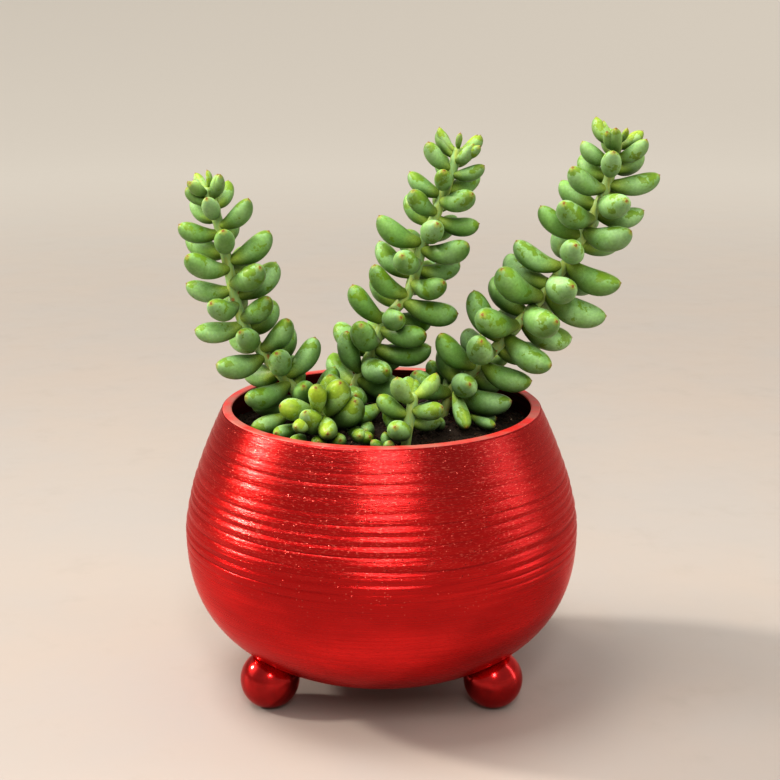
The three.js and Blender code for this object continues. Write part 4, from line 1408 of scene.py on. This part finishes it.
# The look's name for its strength, kind, turn and rise in degrees, distance, colour, width and height.
LIGHTS = {
    "key_sun": ("sun", "SUN", 171, 30, 2.0, (1.0, 0.93, 0.83), None),
    "front_softbox": ("front", "AREA", -86, 36, 0.95, (1.0, 0.97, 0.93), (0.15, 0.34)),
    "top_softbox": ("top", "AREA", -160, 70, 0.9, (1.0, 0.97, 0.93), (0.5, 0.4)),
    "left_softbox": ("left", "AREA", 188, 24, 0.9, (1.0, 0.95, 0.88), (0.34, 0.6)),
    "right_softbox": ("right", "AREA", -2, 18, 0.9, (0.97, 0.98, 1.0), (0.16, 0.8)),
}


def towards(turn, rise):
    """Direction with a turn round +Z from +X and a rise over the floor, in degrees."""
    turn, rise = math.radians(turn), math.radians(rise)
    return Vector((math.cos(rise) * math.cos(turn), math.cos(rise) * math.sin(turn), math.sin(rise)))


def add_light(name, energy, kind, turn, rise, distance, tint, size):
    lamp = bpy.data.lights.new(name, kind)
    lamp.energy = energy
    lamp.color = tint
    if kind == "SUN":
        lamp.angle = SUN_WIDTH
    else:
        lamp.shape = "RECTANGLE"
        lamp.size, lamp.size_y = size
    way = towards(turn, rise)
    light = bpy.data.objects.new(name, lamp)
    light.location = LIT_PLACE + way * distance
    light.rotation_euler = way.to_track_quat("Z", "Y").to_euler()
    light.visible_camera = False
    bpy.context.scene.collection.objects.link(light)


def build_floor(look):
    """A disc, flat round the plant and rising far off."""
    turns = ring_angles(FLOOR_SIDES)
    corners = [(0, 0, 0)]
    for radius in np.linspace(FLOOR_FLAT, FLOOR_REACH, FLOOR_RINGS):
        lift = FLOOR_LIFT * ((radius - FLOOR_FLAT) / (FLOOR_REACH - FLOOR_FLAT)) ** 2
        corners += [(radius * math.cos(a), radius * math.sin(a), lift) for a in turns]
    faces = [(0, 1 + k, 1 + (k + 1) % FLOOR_SIDES) for k in range(FLOOR_SIDES)]
    faces += [tuple(c + 1 for c in reversed(face)) for face in ring_faces(FLOOR_RINGS, FLOOR_SIDES)]
    mesh = bpy.data.meshes.new("floor")
    mesh.from_pydata(corners, [], faces)
    mesh.polygons.foreach_set("use_smooth", [True] * len(mesh.polygons))
    mesh.materials.append(floor_skin(look))
    floor = bpy.data.objects.new("floor", mesh)
    bpy.context.scene.collection.objects.link(floor)


def build_camera(look):
    lens = bpy.data.cameras.new("camera")
    lens.lens = look.lens
    lens.sensor_width = SENSOR_WIDTH
    lens.clip_start = CLIP_START
    lens.clip_end = CLIP_END
    camera = bpy.data.objects.new("camera", lens)
    camera.location = ((POT_AXIS_X + look.camera_side) * MM, -look.camera_back * MM, look.camera_up * MM)
    camera.rotation_euler = (math.pi / 2 - look.camera_pitch, 0, 0)
    bpy.context.scene.collection.objects.link(camera)
    bpy.context.scene.camera = camera


def build_stage(look):
    build_floor(look)
    world = bpy.data.worlds.new("soft_room")
    world.use_nodes = True
    sky = world.node_tree.nodes["Background"]
    sky.inputs["Color"].default_value = (*look.surround, 1)
    sky.inputs["Strength"].default_value = look.surround_strength
    bpy.context.scene.world = world
    for name, (strength, *rest) in LIGHTS.items():
        add_light(name, getattr(look, strength), *rest)
    build_camera(look)
    bpy.context.scene.view_settings.view_transform = "Standard"
    bpy.context.scene.view_settings.look = "Medium High Contrast"


# ---- Operators, panel and registration -------------------------------------------------------------


class BURROS_OT_stage(bpy.types.Operator):
    """Make the pale floor, the soft lights and the camera"""

    bl_idname = "burros.stage"
    bl_label = "Stage"

    def execute(self, context):
        build_stage(context.scene.burros_stage)
        return {"FINISHED"}


class BURROS_OT_bowl(bpy.types.Operator):
    """Make the turned metal bowl"""

    bl_idname = "burros.bowl"
    bl_label = "Bowl"

    def execute(self, context):
        build_bowl(context.scene.burros_pot)
        return {"FINISHED"}


class BURROS_OT_ball_feet(bpy.types.Operator):
    """Make the three ball feet"""

    bl_idname = "burros.ball_feet"
    bl_label = "Ball feet"

    def execute(self, context):
        look = context.scene.burros_pot
        finish = ball_metal(look)
        for node, degrees in FEET.items():
            build_ball_foot(node, degrees, look, finish)
        return {"FINISHED"}


class BURROS_OT_soil(bpy.types.Operator):
    """Fill the bowl with soil"""

    bl_idname = "burros.soil"
    bl_label = "Soil"

    def execute(self, context):
        build_soil(context.scene.burros_soil)
        return {"FINISHED"}


class BURROS_OT_leafy_stems(bpy.types.Operator):
    """Grow the leafy stems"""

    bl_idname = "burros.leafy_stems"
    bl_label = "Leafy stems"

    def execute(self, context):
        look = context.scene.burros_plant
        skins = {"leaf": leaf_skin(look), "stalk": stalk_skin(look), "nub": nub_skin(look)}
        for shoot, route, leaves in grown_shoots():
            build_shoot(shoot, route, leaves, look, skins)
        build_low_leaves(look, skins)
        return {"FINISHED"}


class BURROS_PT_plant(bpy.types.Panel):
    """Everything that the plant is made with"""

    bl_idname = "BURROS_PT_plant"
    bl_label = "Burros tail plant"
    bl_space_type = "VIEW_3D"
    bl_region_type = "UI"
    bl_category = "Plant"

    def draw(self, context):
        for operator in OPERATORS:
            self.layout.operator(operator.bl_idname)
        for name in LOOKS:
            look = getattr(context.scene, name)
            box = self.layout.box()
            for key in look.__annotations__:
                box.prop(look, key)


LOOKS = {
    "burros_pot": BurrosPotLook,
    "burros_plant": BurrosPlantLook,
    "burros_soil": BurrosSoilLook,
    "burros_stage": BurrosStageLook,
}
OPERATORS = (
    BURROS_OT_stage,
    BURROS_OT_bowl,
    BURROS_OT_ball_feet,
    BURROS_OT_soil,
    BURROS_OT_leafy_stems,
)


def register():
    for name, look in LOOKS.items():
        bpy.utils.register_class(look)
        setattr(bpy.types.Scene, name, bpy.props.PointerProperty(type=look))
    for operator in OPERATORS:
        bpy.utils.register_class(operator)
    bpy.utils.register_class(BURROS_PT_plant)


def unregister():
    bpy.utils.unregister_class(BURROS_PT_plant)
    for operator in reversed(OPERATORS):
        bpy.utils.unregister_class(operator)
    for name, look in reversed(LOOKS.items()):
        delattr(bpy.types.Scene, name)
        bpy.utils.unregister_class(look)


def main():
    register()
    bpy.ops.burros.stage()
    bpy.ops.burros.bowl()
    bpy.ops.burros.ball_feet()
    bpy.ops.burros.soil()
    bpy.ops.burros.leafy_stems()


if __name__ == "__main__":
    main()
